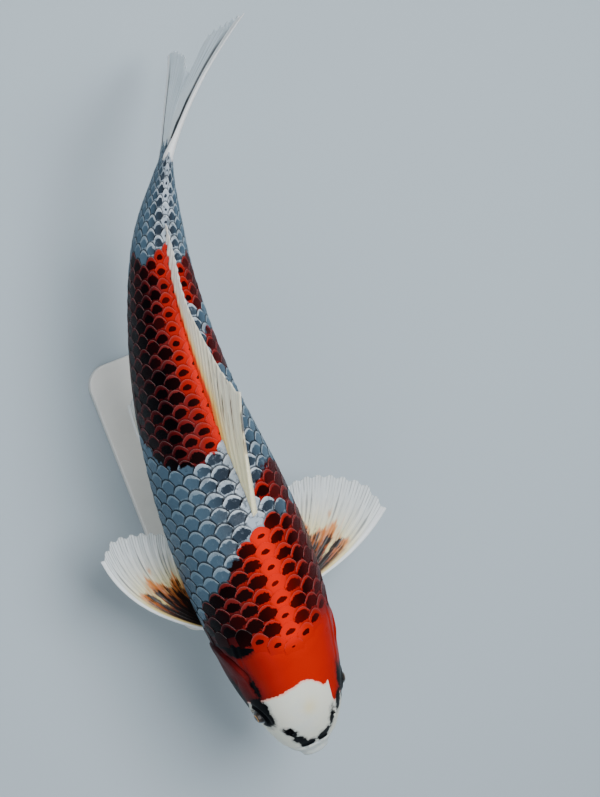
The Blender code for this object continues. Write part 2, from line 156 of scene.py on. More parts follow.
AXIS_STEP = 1 * MM
AXIS_AT = np.arange(-30 * MM, 580 * MM, AXIS_STEP)
AXIS_HEADING = np.radians(spline(HEADINGS[:, 0] * MM, HEADINGS[:, 1], AXIS_AT))
AXIS_X = np.cumsum(np.sin(AXIS_HEADING)) * AXIS_STEP
AXIS_Y = np.cumsum(np.cos(AXIS_HEADING)) * AXIS_STEP


def trace_at(along):
    """The trace distance whose section lies at this place along the fish."""
    return np.interp(along, ALONG_FINE, TRACE_FINE)


def bump(x, middle, width):
    """A bell curve, 1 at the middle."""
    return np.exp(-(((x - middle) / width) ** 2))


def ease(x, low, high):
    """A smooth step from 0 at low to 1 at high, whichever of the two is larger."""
    t = np.clip((x - low) / (high - low), 0, 1)
    return t * t * (3 - 2 * t)


def between(ends, t):
    return ends[0] + (ends[1] - ends[0]) * t


def body_point(trace, turn, grow=0.0):
    """The straight body's surface, at a trace distance and an angle from the fish's left over its back.

    Each section is nearly two half ellipses, one over the other, and a little fuller. Added to it are
    the cheek, the sides of the crown and the lips, each a bell curve.
    """
    along, middle, half, rise, drop = np.moveaxis(spline(TRACE, SECTIONS, trace), -1, 0)
    c, s = np.cos(turn), np.sin(turn)
    fullness = 0.93
    half, rise, drop = (np.maximum(size, 0) + grow for size in (half, rise, drop))
    side = half * np.sign(c) * np.abs(c) ** fullness
    up = middle + np.where(s > 0, rise, drop) * np.sign(s) * np.abs(s) ** fullness
    side = side + 1.6 * MM * bump(along, 74 * MM, 24 * MM) * bump(up, -14 * MM, 20 * MM) * c
    up = up + 1.5 * MM * bump(along, 44 * MM, 22 * MM) * np.where(s > 0, 2 * np.abs(c * s), 0)
    lip = 1.1 * MM * bump(trace, 7.0 * MM, 3 * MM) - 0.6 * MM * bump(trace, 13.0 * MM, 3 * MM)
    return np.stack(np.broadcast_arrays(along - 0.8 * lip, side + lip * c, up + lip * s), -1)


def pose(points):
    """The straight fish's (along, side, up), rolled and laid along the plan curve, as x, y, z."""
    along, side, up = np.moveaxis(np.asarray(points, float), -1, 0)
    bank = np.radians(spline(BANKS[:, 0] * MM, BANKS[:, 1], along))
    side, up = side * np.cos(bank) + up * np.sin(bank), up * np.cos(bank) - side * np.sin(bank)
    heading = np.interp(along, AXIS_AT, AXIS_HEADING)
    x = np.interp(along, AXIS_AT, AXIS_X) + side * np.cos(heading)
    y = np.interp(along, AXIS_AT, AXIS_Y) - side * np.sin(heading)
    return np.stack([x, y, up + AXIS_HEIGHT], -1)


base_low, base_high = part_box("stand_base")
BASE_MIDDLE = np.array([(base_low[0] + base_high[0]) / 2, (base_low[1] + base_high[1]) / 2, 0.0])
SHIFT = BASE_MIDDLE - pose([STAND_MIDDLE, 0, 0]) * (1, 1, 0)


def place(points):
    """Points of the straight fish in the row frame."""
    return pose(points) + SHIFT


def skin_point(along, turn, grow=0.0):
    """The straight body's surface by its place along; past the tail root it runs straight on."""
    point = body_point(trace_at(np.minimum(along, TAIL_ROOT)), turn, grow)
    point[..., 0] += np.maximum(along - TAIL_ROOT, 0)
    return point


# ---- the markings, from a place on the surface ----

# The edges of the red patches: turn in degrees, and the place along in millimetres.
NOSE_EDGE = np.array([
    (-90, 62), (-20, 52), (20, 45), (45, 41), (58, 39), (61.5, 43), (63.5, 50), (65, 57.5), (66.5, 57),
    (69, 55), (73, 56), (78, 59.5), (86, 64), (93, 65.5), (102, 64), (115, 62), (130, 61), (142, 60.5),
    (152, 59), (175, 58), (270, 62),
])
SHOULDER_EDGE = np.array([
    (-90, 140), (-30, 168), (20, 178), (60, 179.5), (72, 178), (83, 181), (92, 177), (102, 171),
    (112, 163), (122, 159), (135, 151), (146, 144), (157, 138), (177, 124), (200, 112), (270, 104),
])
REAR_START = np.array([
    (-90, 330), (84, 237), (92, 234), (100, 229.5), (120, 227), (135, 228), (152, 232), (165, 237),
    (180, 244), (195, 256), (212, 285), (270, 330),
])
REAR_END = np.array([
    (-90, 300), (84, 362), (95, 373), (107, 364.5), (125, 361), (140, 358), (152, 362), (167, 366),
    (182, 360), (195, 345), (212, 320), (270, 300),
])
# The lowest red on each side: the place along, and the turn.
LEFT_LIMIT = np.array([(38, 46), (46, 28), (60, 14), (80, 4), (105, -2), (125, -14), (155, -24), (180, -10)])
RIGHT_LIMIT = np.array([(38, 160), (48, 174), (62, 186), (80, 193), (105, 197), (125, 200), (150, 203)])
# Patches on the left flank: middle along and turn, half length and half turn.
LEFT_PATCHES = ((199, 50, 14, 31), (298, 44, 14.5, 26), (345, 52, 20, 28))
# Black marks of the head and its borders; the three at 102 to 108 along are painted shadow in the gill
# openings.
# Each: middle along and turn, half length, half turn, and slant.
BLACK_MARKS_AND_GILL_SHADOWS = (
    (50, 158, 13, 15, 10), (45, 150, 7, 8, 0), (49, 26, 14, 17, 0), (54, 41, 9, 6, 0), (38, 47, 8, 7, 0),
    (15.8, 118, 5.6, 9.5, 0), (14.5, 104, 2.6, 9, 0), (29.5, 130, 4.8, 9.5, -14), (21, 124, 3.4, 9, 0),
    (14.5, 77, 4.4, 12, 0), (27, 61, 8, 5.0, 0), (17.5, 69, 3.5, 6, 0), (70, 146, 8, 4, 0),
    (108, 163, 7.5, 24, 0), (102, 145, 8, 20, 0), (107, 20, 6.5, 20, 0), (64, 182, 15, 8, 0),
)
REAR_PATCH_FROM = 222  # where the rear red patch begins, along in millimetres


def read_edge(edge, at):
    return np.interp(at, edge[:, 0], edge[:, 1])


def red_depth(along, turn):
    """How far inside a red patch a place is, in millimetres; below 0 it is outside."""
    shoulder = np.minimum(along - read_edge(NOSE_EDGE, turn), read_edge(SHOULDER_EDGE, turn) - along)
    shoulder = np.minimum(shoulder, (turn - read_edge(LEFT_LIMIT, along)) * 0.8)
    shoulder = np.minimum(shoulder, (read_edge(RIGHT_LIMIT, along) - turn) * 0.8)
    rear = np.minimum(along - read_edge(REAR_START, turn), read_edge(REAR_END, turn) - along)
    depth = np.maximum(shoulder, np.minimum(rear, (turn - 85) * 0.7))
    for middle, angle, length, spread in LEFT_PATCHES:
        reach = np.sqrt(((along - middle) / length) ** 2 + ((turn - angle) / spread) ** 2)
        depth = np.maximum(depth, (1 - reach) * length)
    return depth


def markings(along, turn):
    """Two triples for each place: red depth, nose depth and bright ridge; then flank, belly and crest.

    The bright ridge is where the red patches are brightest along the back, partly their own orange-red and
    partly a painted highlight; flank is how far the red has darkened to the right (below 0 to the left),
    partly painted shade; belly is the white underside, and crest is nearness to the back.
    """
    turn = (turn + 90) % 360 - 90
    red = red_depth(along, turn)
    nose = read_edge(NOSE_EDGE, turn) - along
    span = ease(along, 88, 104) * ease(along, 186, 172) + ease(along, 226, 240) * ease(along, 352, 300)
    behind = ease(along, 215, 240)
    ridge = bump(turn, 92.5 - 2 * behind, 12 - 4 * behind)
    # The bright ridge of the red patches: their own orange-red with a painted highlight along the back.
    bright_ridge_and_highlight = ridge * span + 0.3 * bump(along, 356, 8) * bump(turn, 110, 16)
    bright_ridge_and_highlight = bright_ridge_and_highlight + 0.4 * ease(along, 112, 96) * bump(turn, 88, 48)
    head = 26 * ease(along, 112, 92)
    # Flank: how far the red darkens down the sides, partly its own colour and partly painted shade.
    flank = ease(turn, 94 - 2 * behind, 170 - 24 * behind) * (1 - 0.004 * head)
    flank = flank - 0.8 * ease(turn, 84, 38) * (1 - 0.028 * head)
    belly = ease(turn, -14 + head, -44 + head) + ease(turn, 202 - 0.6 * head, 226 - 0.9 * head)
    crest = bump(turn, 92, 40)
    return np.stack([red, nose, bright_ridge_and_highlight], -1), np.stack([flank, belly, crest], -1)


def black_marks_and_gill_shadows(along, turn):
    """Depth inside the black marks and the painted shadows of the gill openings, each an ellipse, in
    millimetres, held at -9 away from them.
    """
    depth = np.full(np.broadcast(along, turn).shape, -9.0)
    for middle, angle, length, spread, tilt in BLACK_MARKS_AND_GILL_SHADOWS:
        x, y = (along - middle) / length, (turn - angle + tilt * (along - middle) / length / 3) / spread
        depth = np.maximum(depth, (1 - np.sqrt(x * x + y * y)) * min(length, spread * 0.5))
    return depth


# ---- making pieces ----

def mesh_piece(name, points, faces, material, replaced=(), maps=None, marks=None, sharp=None):
    """A piece from points (n, 3) and a list of face arrays (m, corners), in the row frame.

    maps are UV maps by name, one pair for each corner of each face in order; marks are attributes by
    name, one number or triple for each point.
    """
    sizes = np.concatenate([np.full(len(f), f.shape[1]) for f in faces])
    corners = np.concatenate([f.ravel() for f in faces])
    mesh = bpy.data.meshes.new(name)
    mesh.vertices.add(len(points))
    mesh.vertices.foreach_set("co", np.asarray(points, np.float32).ravel())
    mesh.loops.add(len(corners))
    mesh.loops.foreach_set("vertex_index", corners.astype(np.int32))
    mesh.polygons.add(len(sizes))
    mesh.polygons.foreach_set("loop_start", np.concatenate([[0], np.cumsum(sizes)[:-1]]).astype(np.int32))
    mesh.update(calc_edges=True)
    mesh.shade_smooth()
    if sharp:
        mesh.set_sharp_from_angle(angle=np.radians(sharp))
    for map_name, places in (maps or {}).items():
        mesh.uv_layers.new(name=map_name).data.foreach_set("uv", places.astype(np.float32).ravel())
    for mark, values in (marks or {}).items():
        values = np.asarray(values, np.float32)
        kind, key = ("FLOAT_VECTOR", "vector") if values.ndim > 1 else ("FLOAT", "value")
        mesh.attributes.new(mark, kind, "POINT").data.foreach_set(key, values.ravel())
    mesh.materials.append(material)
    piece = bpy.data.objects.new(name, mesh)
    bpy.context.scene.collection.objects.link(piece)
    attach(piece, "root")
    if replaced:
        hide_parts(*replaced)


def grid_faces(rows, columns, wrap=False):
    """Quads of a grid of points; the columns join up when wrap is true."""
    at = np.arange(rows * columns).reshape(rows, columns)
    if wrap:
        at = np.column_stack([at, at[:, 0]])
    return np.stack([at[:-1, :-1], at[:-1, 1:], at[1:, 1:], at[1:, :-1]], -1).reshape(-1, 4)


def rim_of(rows, columns):
    """The outline of a grid of points, once round it."""
    at = np.arange(rows * columns).reshape(rows, columns)
    return np.concatenate([at[0, :-1], at[:-1, -1], at[-1, :0:-1], at[:0:-1, 0]])


def end_fans(rows, columns):
    """The triangles that close a tube of rings onto its two end points, which follow the rings' points."""
    first, count = np.arange(columns), rows * columns
    last = first + count - columns
    return [
        np.stack([np.roll(first, -1), first, np.full(columns, count)], -1),
        np.stack([last, np.roll(last, -1), np.full(columns, count + 1)], -1),
    ]


def normals_of(grid, wrap=False):
    """Unit normals of a grid of points, from the cross product of its two directions."""
    down = np.gradient(grid, axis=0)
    if wrap:
        across = (np.roll(grid, -1, axis=1) - np.roll(grid, 1, axis=1)) / 2
    else:
        across = np.gradient(grid, axis=1)
    normal = np.cross(down, across)
    return normal / np.maximum(np.linalg.norm(normal, axis=-1, keepdims=True), 1e-12)


def outward(points, faces):
    """The faces, all turned over if the volume that they close is below 0."""
    volume = 0.0
    for group in faces:
        for i in range(1, group.shape[1] - 1):
            a, b, c = points[group[:, 0]], points[group[:, i]], points[group[:, i + 1]]
            volume += np.einsum("ij,ij->i", a, np.cross(b, c)).sum()
    return faces if volume > 0 else [group[:, ::-1] for group in faces]


def lathe(profile, sides, centre=(0, 0, 0), axes=None):
    """A closed form of revolution about the third of axes, from profile points (radius, height).

    The first and last profile points lie on the axis, so each is one point with a fan of triangles.
    """
    profile = np.asarray(profile, float)
    axes = np.eye(3) if axes is None else np.asarray(axes, float)
    turn = np.linspace(0, 2 * np.pi, sides, endpoint=False)
    radius, height = profile[1:-1, 0][:, None, None], profile[1:-1, 1][:, None, None]
    rings = radius * (np.cos(turn)[None, :, None] * axes[0] + np.sin(turn)[None, :, None] * axes[1])
    rings = rings + height * axes[2]
    ends = profile[[0, -1], 1][:, None] * axes[2]
    points = np.concatenate([rings.reshape(-1, 3), ends]) + centre
    count = len(profile) - 2
    return points, outward(points, [grid_faces(count, sides, wrap=True), *end_fans(count, sides)])


# ---- material helpers ----

class Graph:
    """Short calls that each add one node to a material's or a group's tree."""

    def __init__(self, tree):
        self.tree = tree

    def put(self, socket, value):
        if isinstance(value, bpy.types.NodeSocket):
            self.tree.links.new(value, socket)
        elif value is not None:
            socket.default_value = value

    def node(self, kind, values=(), **settings):
        made = self.tree.nodes.new(kind)
        for name, value in settings.items():
            setattr(made, name, value)
        for key, value in dict(values).items():
            self.put(made.inputs[key], value)
        return made

    def math(self, operation, *values):
        return self.node("ShaderNodeMath", enumerate(values), operation=operation).outputs[0]

    def add(self, a, b):
        return self.math("ADD", a, b)

    def sub(self, a, b):
        return self.math("SUBTRACT", a, b)

    def mul(self, product, *others):
        for value in others:
            product = self.math("MULTIPLY", product, value)
        return product

    def step(self, value, low, high, out_low=0.0, out_high=1.0):
        """A smooth step of value from low to high."""
        made = self.node("ShaderNodeMapRange", {0: value, 1: low, 2: high, 3: out_low, 4: out_high},
                         interpolation_type="SMOOTHSTEP")
        return made.outputs[0]

    def mix(self, share, a, b):
        """Colour a, with this share of colour b."""
        return self.node("ShaderNodeMix", {0: share, 6: a, 7: b}, data_type="RGBA").outputs[2]

    def noise(self, at, scale, detail=2.0, roughness=0.5, distortion=0.0):
        made = self.node("ShaderNodeTexNoise", {"Vector": at, "Scale": scale, "Detail": detail,
                                                "Roughness": roughness, "Distortion": distortion})
        return made.outputs["Fac"]

    def cells(self, at, scale):
        return self.node("ShaderNodeTexVoronoi", {"Vector": at, "Scale": scale}).outputs["Distance"]

    def mark(self, name, key="Vector"):
        return self.node("ShaderNodeAttribute", attribute_name=name).outputs[key]

    def parts(self, vector):
        return self.node("ShaderNodeSeparateXYZ", {0: vector}).outputs

    def join(self, x, y, z):
        return self.node("ShaderNodeCombineXYZ", {0: x, 1: y, 2: z}).outputs[0]

    def object_place(self):
        return self.node("ShaderNodeTexCoord").outputs["Object"]

    def surface(self, shader, colour, roughness, height, strength, distance):
        """The shader's colour, roughness and bumps, the last from a height, a strength and a depth."""
        relief = self.node("ShaderNodeBump", {"Height": height, "Strength": strength, "Distance": distance})
        for name, value in (("Base Color", colour), ("Roughness", roughness), ("Normal", relief.outputs[0])):
            self.put(shader[name], value)

    def group(self, tree, **values):
        made = self.node("ShaderNodeGroup", node_tree=tree)
        for name, value in values.items():
            self.put(made.inputs[name.replace("_", " ").capitalize()], value)
        return made.outputs


def new_group(name, inputs, outputs):
    """A shader node group with named inputs and outputs, as its graph, its inputs and its end node."""
    tree = bpy.data.node_groups.new(name, "ShaderNodeTree")
    for label, kind in inputs.items():
        tree.interface.new_socket(label, in_out="INPUT", socket_type=f"NodeSocket{kind}")
    for label, kind in outputs.items():
        tree.interface.new_socket(label, in_out="OUTPUT", socket_type=f"NodeSocket{kind}")
    graph = Graph(tree)
    return graph, graph.node("NodeGroupInput").outputs, graph.node("NodeGroupOutput").inputs


def new_material(name, **constants):
    """A material whose principled shader has these constant values, as its graph and shader inputs."""
    material = bpy.data.materials.new(name)
    material.use_nodes = True
    shader = material.node_tree.nodes["Principled BSDF"]
    for key, value in constants.items():
        shader.inputs[key.replace("_", " ")].default_value = value
    return material, Graph(material.node_tree), shader.inputs


def srgb(red, green, blue):
    """A colour given in the usual 0 to 255, as the linear values that shaders take."""
    values = np.array([red, green, blue]) / 255
    linear = np.where(values <= 0.04045, values / 12.92, ((values + 0.055) / 1.055) ** 2.4)
    return (*linear.tolist(), 1.0)


# ---- effects that several materials use ----

def make_koi_colours():
    """The koi's ground colours from its marks: red patches over slate grey, white nose and belly.

    Spot is how much of a scale's dark middle lies here, and rim how much of its pale edge.
    """
    g, given, made = new_group(
        "koi_colours",
        {"Marks": "Vector", "Shade": "Vector", "Wander": "Float", "Spot": "Float", "Rim": "Float"},
        {"Colour": "Color", "Red": "Float"},
    )
    red, nose, bright_ridge_and_highlight = g.parts(given["Marks"])
    flank, belly, crest = g.parts(given["Shade"])
    spot, rim, wander = given["Spot"], given["Rim"], given["Wander"]
    place = g.object_place()
    mottle = g.noise(place, 60.0, 3.0)
    is_red = g.step(g.add(red, g.mul(wander, 3.2)), -0.35, 0.35)
    # The red patches: bright on the ridge, partly a painted highlight; maroon down the left flank and nearly
    # black down the right, partly painted shade.
    left = g.step(flank, -0.05, -0.45)
    flank = g.math("ABSOLUTE", flank)
    net = g.mix(g.step(flank, 0.0, 0.55), srgb(148, 20, 12), srgb(106, 29, 29))
    net = g.mix(g.step(flank, 0.55, 1.0), net, srgb(26, 5, 10))
    # Bright orange-red on the ridge: the patches' own colour with a painted highlight.
    net = g.mix(bright_ridge_and_highlight, net, srgb(212, 24, 0))
    edge = g.mix(flank, srgb(160, 62, 54), srgb(92, 46, 50))
    net = g.mix(g.mul(rim, g.sub(0.36, g.mul(bright_ridge_and_highlight, 0.34))), net, edge)
    net = g.mix(g.step(mottle, 0.35, 0.75, 0.0, 0.35), net, g.mix(bright_ridge_and_highlight, srgb(112, 8, 6), srgb(214, 28, 4)))
    # Spots darker down the right flank, partly painted shade, and lighter on the left.
    dark = g.mix(flank, srgb(28, 4, 4), srgb(5, 1, 3))
    dark = g.mix(g.mul(left, 0.8), dark, srgb(62, 14, 14))
    dark = g.mix(g.mul(bright_ridge_and_highlight, 0.6), dark, srgb(90, 10, 2))
    red_colour = g.mix(spot, net, dark)
    # The grey ground: dark slate spots in a pale net near the back, softer and bluer down the flanks.
    vein = g.noise(place, 210.0, 4.0, 0.7, 0.8)
    pale = g.mix(crest, srgb(90, 117, 135), srgb(158, 170, 182))
    pale = g.mix(g.mul(rim, 0.7), pale, g.mix(crest, srgb(108, 134, 150), srgb(198, 207, 214)))
    slate = g.mix(g.step(crest, 0.1, 1.0), srgb(74, 98, 116), srgb(38, 46, 56))
    grey = g.mix(g.step(mottle, 0.4, 0.7, 0.0, 0.35), pale, srgb(78, 98, 110))
    grey = g.mix(g.mul(g.step(vein, 0.52, 0.62), g.mul(crest, 0.65)), grey, srgb(44, 54, 64))
    worn = g.step(vein, 0.44, 0.30, 0.0, 0.25)
    grey = g.mix(g.mul(spot, g.sub(1.0, worn)), grey, slate)
    white = g.mix(g.step(mottle, 0.45, 0.8, 0.0, 0.5), srgb(222, 224, 212), srgb(198, 207, 208))
    white = g.mix(g.mul(spot, 0.2), white, srgb(150, 160, 168))
    ground = g.mix(belly, grey, white)
    nose_white = g.mix(g.step(mottle, 0.45, 0.8, 0.0, 0.5), srgb(216, 219, 206), srgb(196, 206, 208))
    on_nose = g.step(g.sub(nose, g.mul(wander, 3.2)), -1.6, -0.8)
    ground = g.mix(g.mul(on_nose, g.sub(1.0, belly)), ground, nose_white)
    g.put(made["Colour"], g.mix(is_red, ground, red_colour))
    g.put(made["Red"], is_red)
    return g.tree


def make_wet_grain():
    """A fine moist grain: a height and a roughness from two sizes of noise and a scatter of pores."""
    g, given, made = new_group(
        "wet_grain", {"Size": "Float", "Low": "Float", "High": "Float"},
        {"Height": "Float", "Roughness": "Float"},
    )
    place = g.object_place()
    fine = g.noise(place, given["Size"], 4.0, 0.6)
    broad = g.noise(place, g.mul(given["Size"], 0.08), 2.0)
    pores = g.step(g.cells(place, g.mul(given["Size"], 0.7)), 0.0, 0.35)
    g.put(made["Height"], g.add(g.mul(fine, 0.6), g.mul(pores, 0.4)))
    wet = g.math("MULTIPLY_ADD", broad, 0.7, g.mul(fine, 0.3))
    g.put(made["Roughness"], g.step(wet, 0.25, 0.75, given["Low"], given["High"]))
    return g.tree


KOI_COLOURS = make_koi_colours()
WET_GRAIN = make_wet_grain()


def paint_skin():
    """The bare skin: the koi's colours, black marks on the head with painted shadow in the gill openings,
    painted shade along the gill cover's crease, and pores, with a satin finish.
    """
    material, g, shader = new_material("koi_skin", IOR=1.4, Specular_IOR_Level=0.04,
                                       Subsurface_Weight=0.04, Subsurface_Scale=0.003)
    place = g.object_place()
    broad, fine = g.noise(place, 150.0, 3.0), g.noise(place, 520.0, 3.0)
    wander = g.sub(g.add(g.mul(broad, 0.7), g.mul(fine, 0.7)), 0.7)
    marks, shade = g.mark("marks"), g.mark("shade")
    coloured = g.group(KOI_COLOURS, marks=marks, shade=shade, wander=wander, spot=0.0, rim=0.0)
    nose = g.parts(marks)[1]
    tint, lips, gill_crease_shade = g.parts(g.mark("tints"))
    colour = g.mix(g.mul(tint, 0.55), coloured["Colour"], srgb(222, 208, 150))
    colour = g.mix(g.mul(lips, g.step(wander, -0.2, 0.2, 0.25, 0.6)), colour, srgb(168, 184, 196))
    # Painted shade in the crease at the gill cover's edge: grey-pink on white skin, near black on red.
    colour = g.mix(g.mul(gill_crease_shade, 0.6), colour, g.mix(coloured["Red"], srgb(150, 116, 112), srgb(40, 4, 6)))
    over = g.sub(nose, g.mul(wander, 3.2))
    border = g.mul(g.step(over, 2.0, 0.3), g.step(over, -0.5, 0.2))
    red_side = g.step(g.parts(marks)[0], -3.5, -1.5, 0.0, 0.8)
    colour = g.mix(g.mul(border, red_side), colour, srgb(246, 168, 150))
    # Near-black marks with a grey halo; at the gill openings they are painted shadow.
    black = g.mark("black", "Fac")
    streaky = g.add(black, g.mul(wander, 5.0))
    halo_and_gill_shade = g.step(streaky, -3.0, 0.4, 0.0, 0.55)
    colour = g.mix(halo_and_gill_shade, colour, g.mix(coloured["Red"], srgb(104, 106, 112), srgb(58, 12, 14)))
    colour = g.mix(g.step(streaky, -0.5, 0.7), colour, srgb(5, 6, 9))
    grain = g.group(WET_GRAIN, size=900.0, low=0.26, high=0.42)
    g.surface(shader, colour, grain["Roughness"], grain["Height"], 0.16, 0.0006)
    return material


def paint_scale():
    """A scale: a dark spot, a crescent of painted shade behind the scales that cover it, a pale free edge
    with a thin painted highlight, rings and fine rays.

    The cell mark is (along, across) within the scale's cell of the lattice, in pitches, and the size of
    its spot. The seed mark is a number from -1 to 1 of its own, and how far other scales cover its root.
    Front is the distance behind the free edges of the scales that cover it.
    """
    material, g, shader = new_material("koi_scales", IOR=1.4, Specular_IOR_Level=0.03)
    place = g.object_place()
    along, across, size = g.parts(g.mark("cell"))
    seed, covered, _ = g.parts(g.mark("seed"))
    aside = g.math("ABSOLUTE", across)
    bow = g.mul(g.mul(across, across), EDGE_BOW)
    to_edge = g.sub(g.sub(EDGE_REACH, bow), along)
    away = g.sub(1.0, aside)
    front = g.math("MINIMUM", g.sub(g.add(along, bow), EDGE_REACH - 1.0),
                   g.add(g.sub(along, EDGE_REACH - 0.5), g.mul(g.mul(away, away), EDGE_BOW)))
    ragged = g.noise(place, 330.0, 3.0, 0.6)
    x = g.add(g.add(along, g.mul(bow, 0.35)), g.add(g.mul(across, 0.07), g.mul(seed, 0.04)))
    fuller = g.mul(size, g.add(1.0, g.mul(g.math("ABSOLUTE", g.parts(g.mark("shade"))[0]), 0.16)))
    x = g.math("DIVIDE", x, g.mul(fuller, 0.335))
    y = g.math("DIVIDE", g.add(across, g.mul(seed, 0.05)), g.mul(fuller, 0.575))
    reach = g.add(g.mul(x, x), g.mul(y, y))
    reach = g.add(reach, g.mul(g.sub(ragged, 0.5), 2.1))
    spot = g.step(reach, 1.22, 0.84)
    rim = g.step(to_edge, 0.2, 0.04)
    wander = g.mul(g.sub(g.noise(place, 260.0, 3.0), 0.5), 1.3)
    coloured = g.group(KOI_COLOURS, marks=g.mark("marks"), shade=g.mark("shade"), wander=wander,
                       spot=g.mul(spot, g.step(seed, -1.0, -0.5, 0.9, 1.0)), rim=rim)
    plain = g.sub(1.0, g.mul(g.parts(g.mark("marks"))[2], 0.9))
    # Painted shade: a dark crescent just behind the free edges of the covering scales, weaker on red and on
    # the ridge.
    wide = g.mul(g.step(aside, 0.1, 0.9, 0.14, 0.40), g.sub(1.3, g.mul(ragged, 0.6)))
    painted_shade_crescent = g.step(g.math("DIVIDE", front, wide), 1.0, 0.4)
    strength = g.step(coloured["Red"], 0.0, 1.0, 0.78, 0.25)
    colour = g.mix(g.mul(painted_shade_crescent, strength, plain, covered), coloured["Colour"], srgb(10, 9, 13))
    # Painted highlight: a thin near-white line along the scale's free edge, faint on the ridge.
    colour = g.mix(g.mul(g.step(to_edge, 0.035, 0.0, 0.0, 0.12), plain), colour, srgb(245, 238, 232))
    rays = g.math("SINE", g.mul(g.math("ARCTAN2", across, g.add(along, 1.1)), 64.0))
    rings = g.math("SINE", g.mul(to_edge, 46.0))
    relief = g.add(g.mul(rays, 0.22), g.mul(rings, 0.16))
    grain = g.group(WET_GRAIN, size=1200.0, low=0.2, high=0.4)
    relief = g.add(relief, g.mul(grain["Height"], 0.6))
    g.surface(shader, colour, grain["Roughness"], relief, 0.22, 0.00035)
    return material


# ---- the skin ----

def gill_place(along, up):
    """A place in the gill cover's own ellipse: x and y, how far out it is, and how much to the rear."""
    middle, level, length, depth, slant = GILL_COVER
    slant = np.radians(slant)
    x, y = along - middle, up - level
    x, y = x * np.cos(slant) + y * np.sin(slant), y * np.cos(slant) - x * np.sin(slant)
    reach = np.hypot(x / length, y / depth)
    return x, y, reach, ease(x / np.maximum(reach, 0.01) / length, -0.05, 0.5)


def head_relief(along, side, up, turn):
    """The height of the head's details over its plain form, in millimetres, all bell curves and steps.

    They are the slit of the mouth between two lips, the fold behind the upper lip, two pairs of nostrils
    with a flap between, the socket and rim of each eye, the gill covers with the cheek's bones, the
    fold over them, and the creases of the throat.
    """
    slit = up - np.interp(along, (0, 4, 16, 25), (-15.3, -16.0, -18.5, -23.5))
    height = -1.9 * bump(slit, 0, 0.6) * ease(along, 23.5, 17.5)
    front = ease(along, 26, 20)
    lip = np.hypot(side / 21.5, slit / 19.0)
    upper = 1.0 * ease(lip, 1.05, 0.55) - 1.5 * bump(lip, 1.02, 0.065) + 0.5 * bump(lip, 1.2, 0.1)
    lip = np.hypot(side / 20.5, slit / 9.5)
    lower = 0.7 * ease(lip, 1.05, 0.5) - 0.8 * bump(lip, 1.02, 0.09)
    height += front * (upper * ease(slit, -0.3, 1.2) + lower * ease(slit, 0.3, -1.2))
    height -= 0.7 * bump(along - 0.5 * np.abs(up + 26), 24, 1.3) * bump(up, -27, 6)
    for apart in (-37, 37):
        x, y = along - 29.5, (turn - CREST_TURN - apart) * 0.45
        y = y + 0.25 * x * np.sign(apart)
        height -= 2.3 * np.exp(-(((x - 1.9) / 1.7) ** 2) - (y / 1.5) ** 2)
        height -= 1.6 * np.exp(-(((x + 2.4) / 1.2) ** 2) - (y / 1.2) ** 2)
        height += 1.1 * np.exp(-(((x + 0.3) / 0.9) ** 2) - (y / 2.2) ** 2)
        height += 0.35 * np.exp(-(((x - 0.2) / 5.0) ** 2) - (y / 4.0) ** 2)
    eye = np.hypot(along - EYE_PLACE[0] / MM, up - EYE_PLACE[2] / MM)
    beside = ease(np.abs(side), 14, 20)
    height += beside * (0.75 * bump(eye, 7.4, 1.3) - 3.0 * ease(eye, 6.5, 5.3) - 0.4 * bump(eye, 10.3, 1.2))
    x, y, reach, rearward = gill_place(along, up)
    cover = 1.1 * ease(reach, 1.03, 0.97) * ease(reach, 0.35, 0.9)
    height += rearward * (cover - 1.9 * bump(reach, 1.07, 0.05))
    height -= 0.45 * bump(reach, 0.60, 0.035) * ease(x, 4, -6)
    height -= 0.25 * bump(reach, 0.80, 0.04) * ease(y, -2, -14)
    for apart in (-50, 54):
        away = (turn - CREST_TURN - apart) * 0.65
        fold = bump(away, 2.5 * np.sign(apart), 1.6) - bump(away, 0, 1.1)
        height += 0.3 * fold * ease(along, 62, 72) * ease(along, 110, 100)
    under = ease(np.abs(turn - 270), 48, 30) * ease(along, 38, 50) * ease(along, 108, 96)
    height -= 0.4 * under * np.cos(np.abs(turn - 270) * 0.30) ** 16
    return height


FLESH = (
    "head", "lower_jaw", "gill_cover_left", "gill_cover_right", "trunk_front", "trunk_rear", "tail_stalk",
)
SKIN_DEPTH = 1.0 * MM  # of the skin under the body's form, where scales cover it
SKIN_SIDES = 288
RING_GAPS = ((0, 18, 40, 112, 135, 436), (0.5, 0.6, 0.75, 0.85, 2.6, 3.0))  # along the trace, gap there


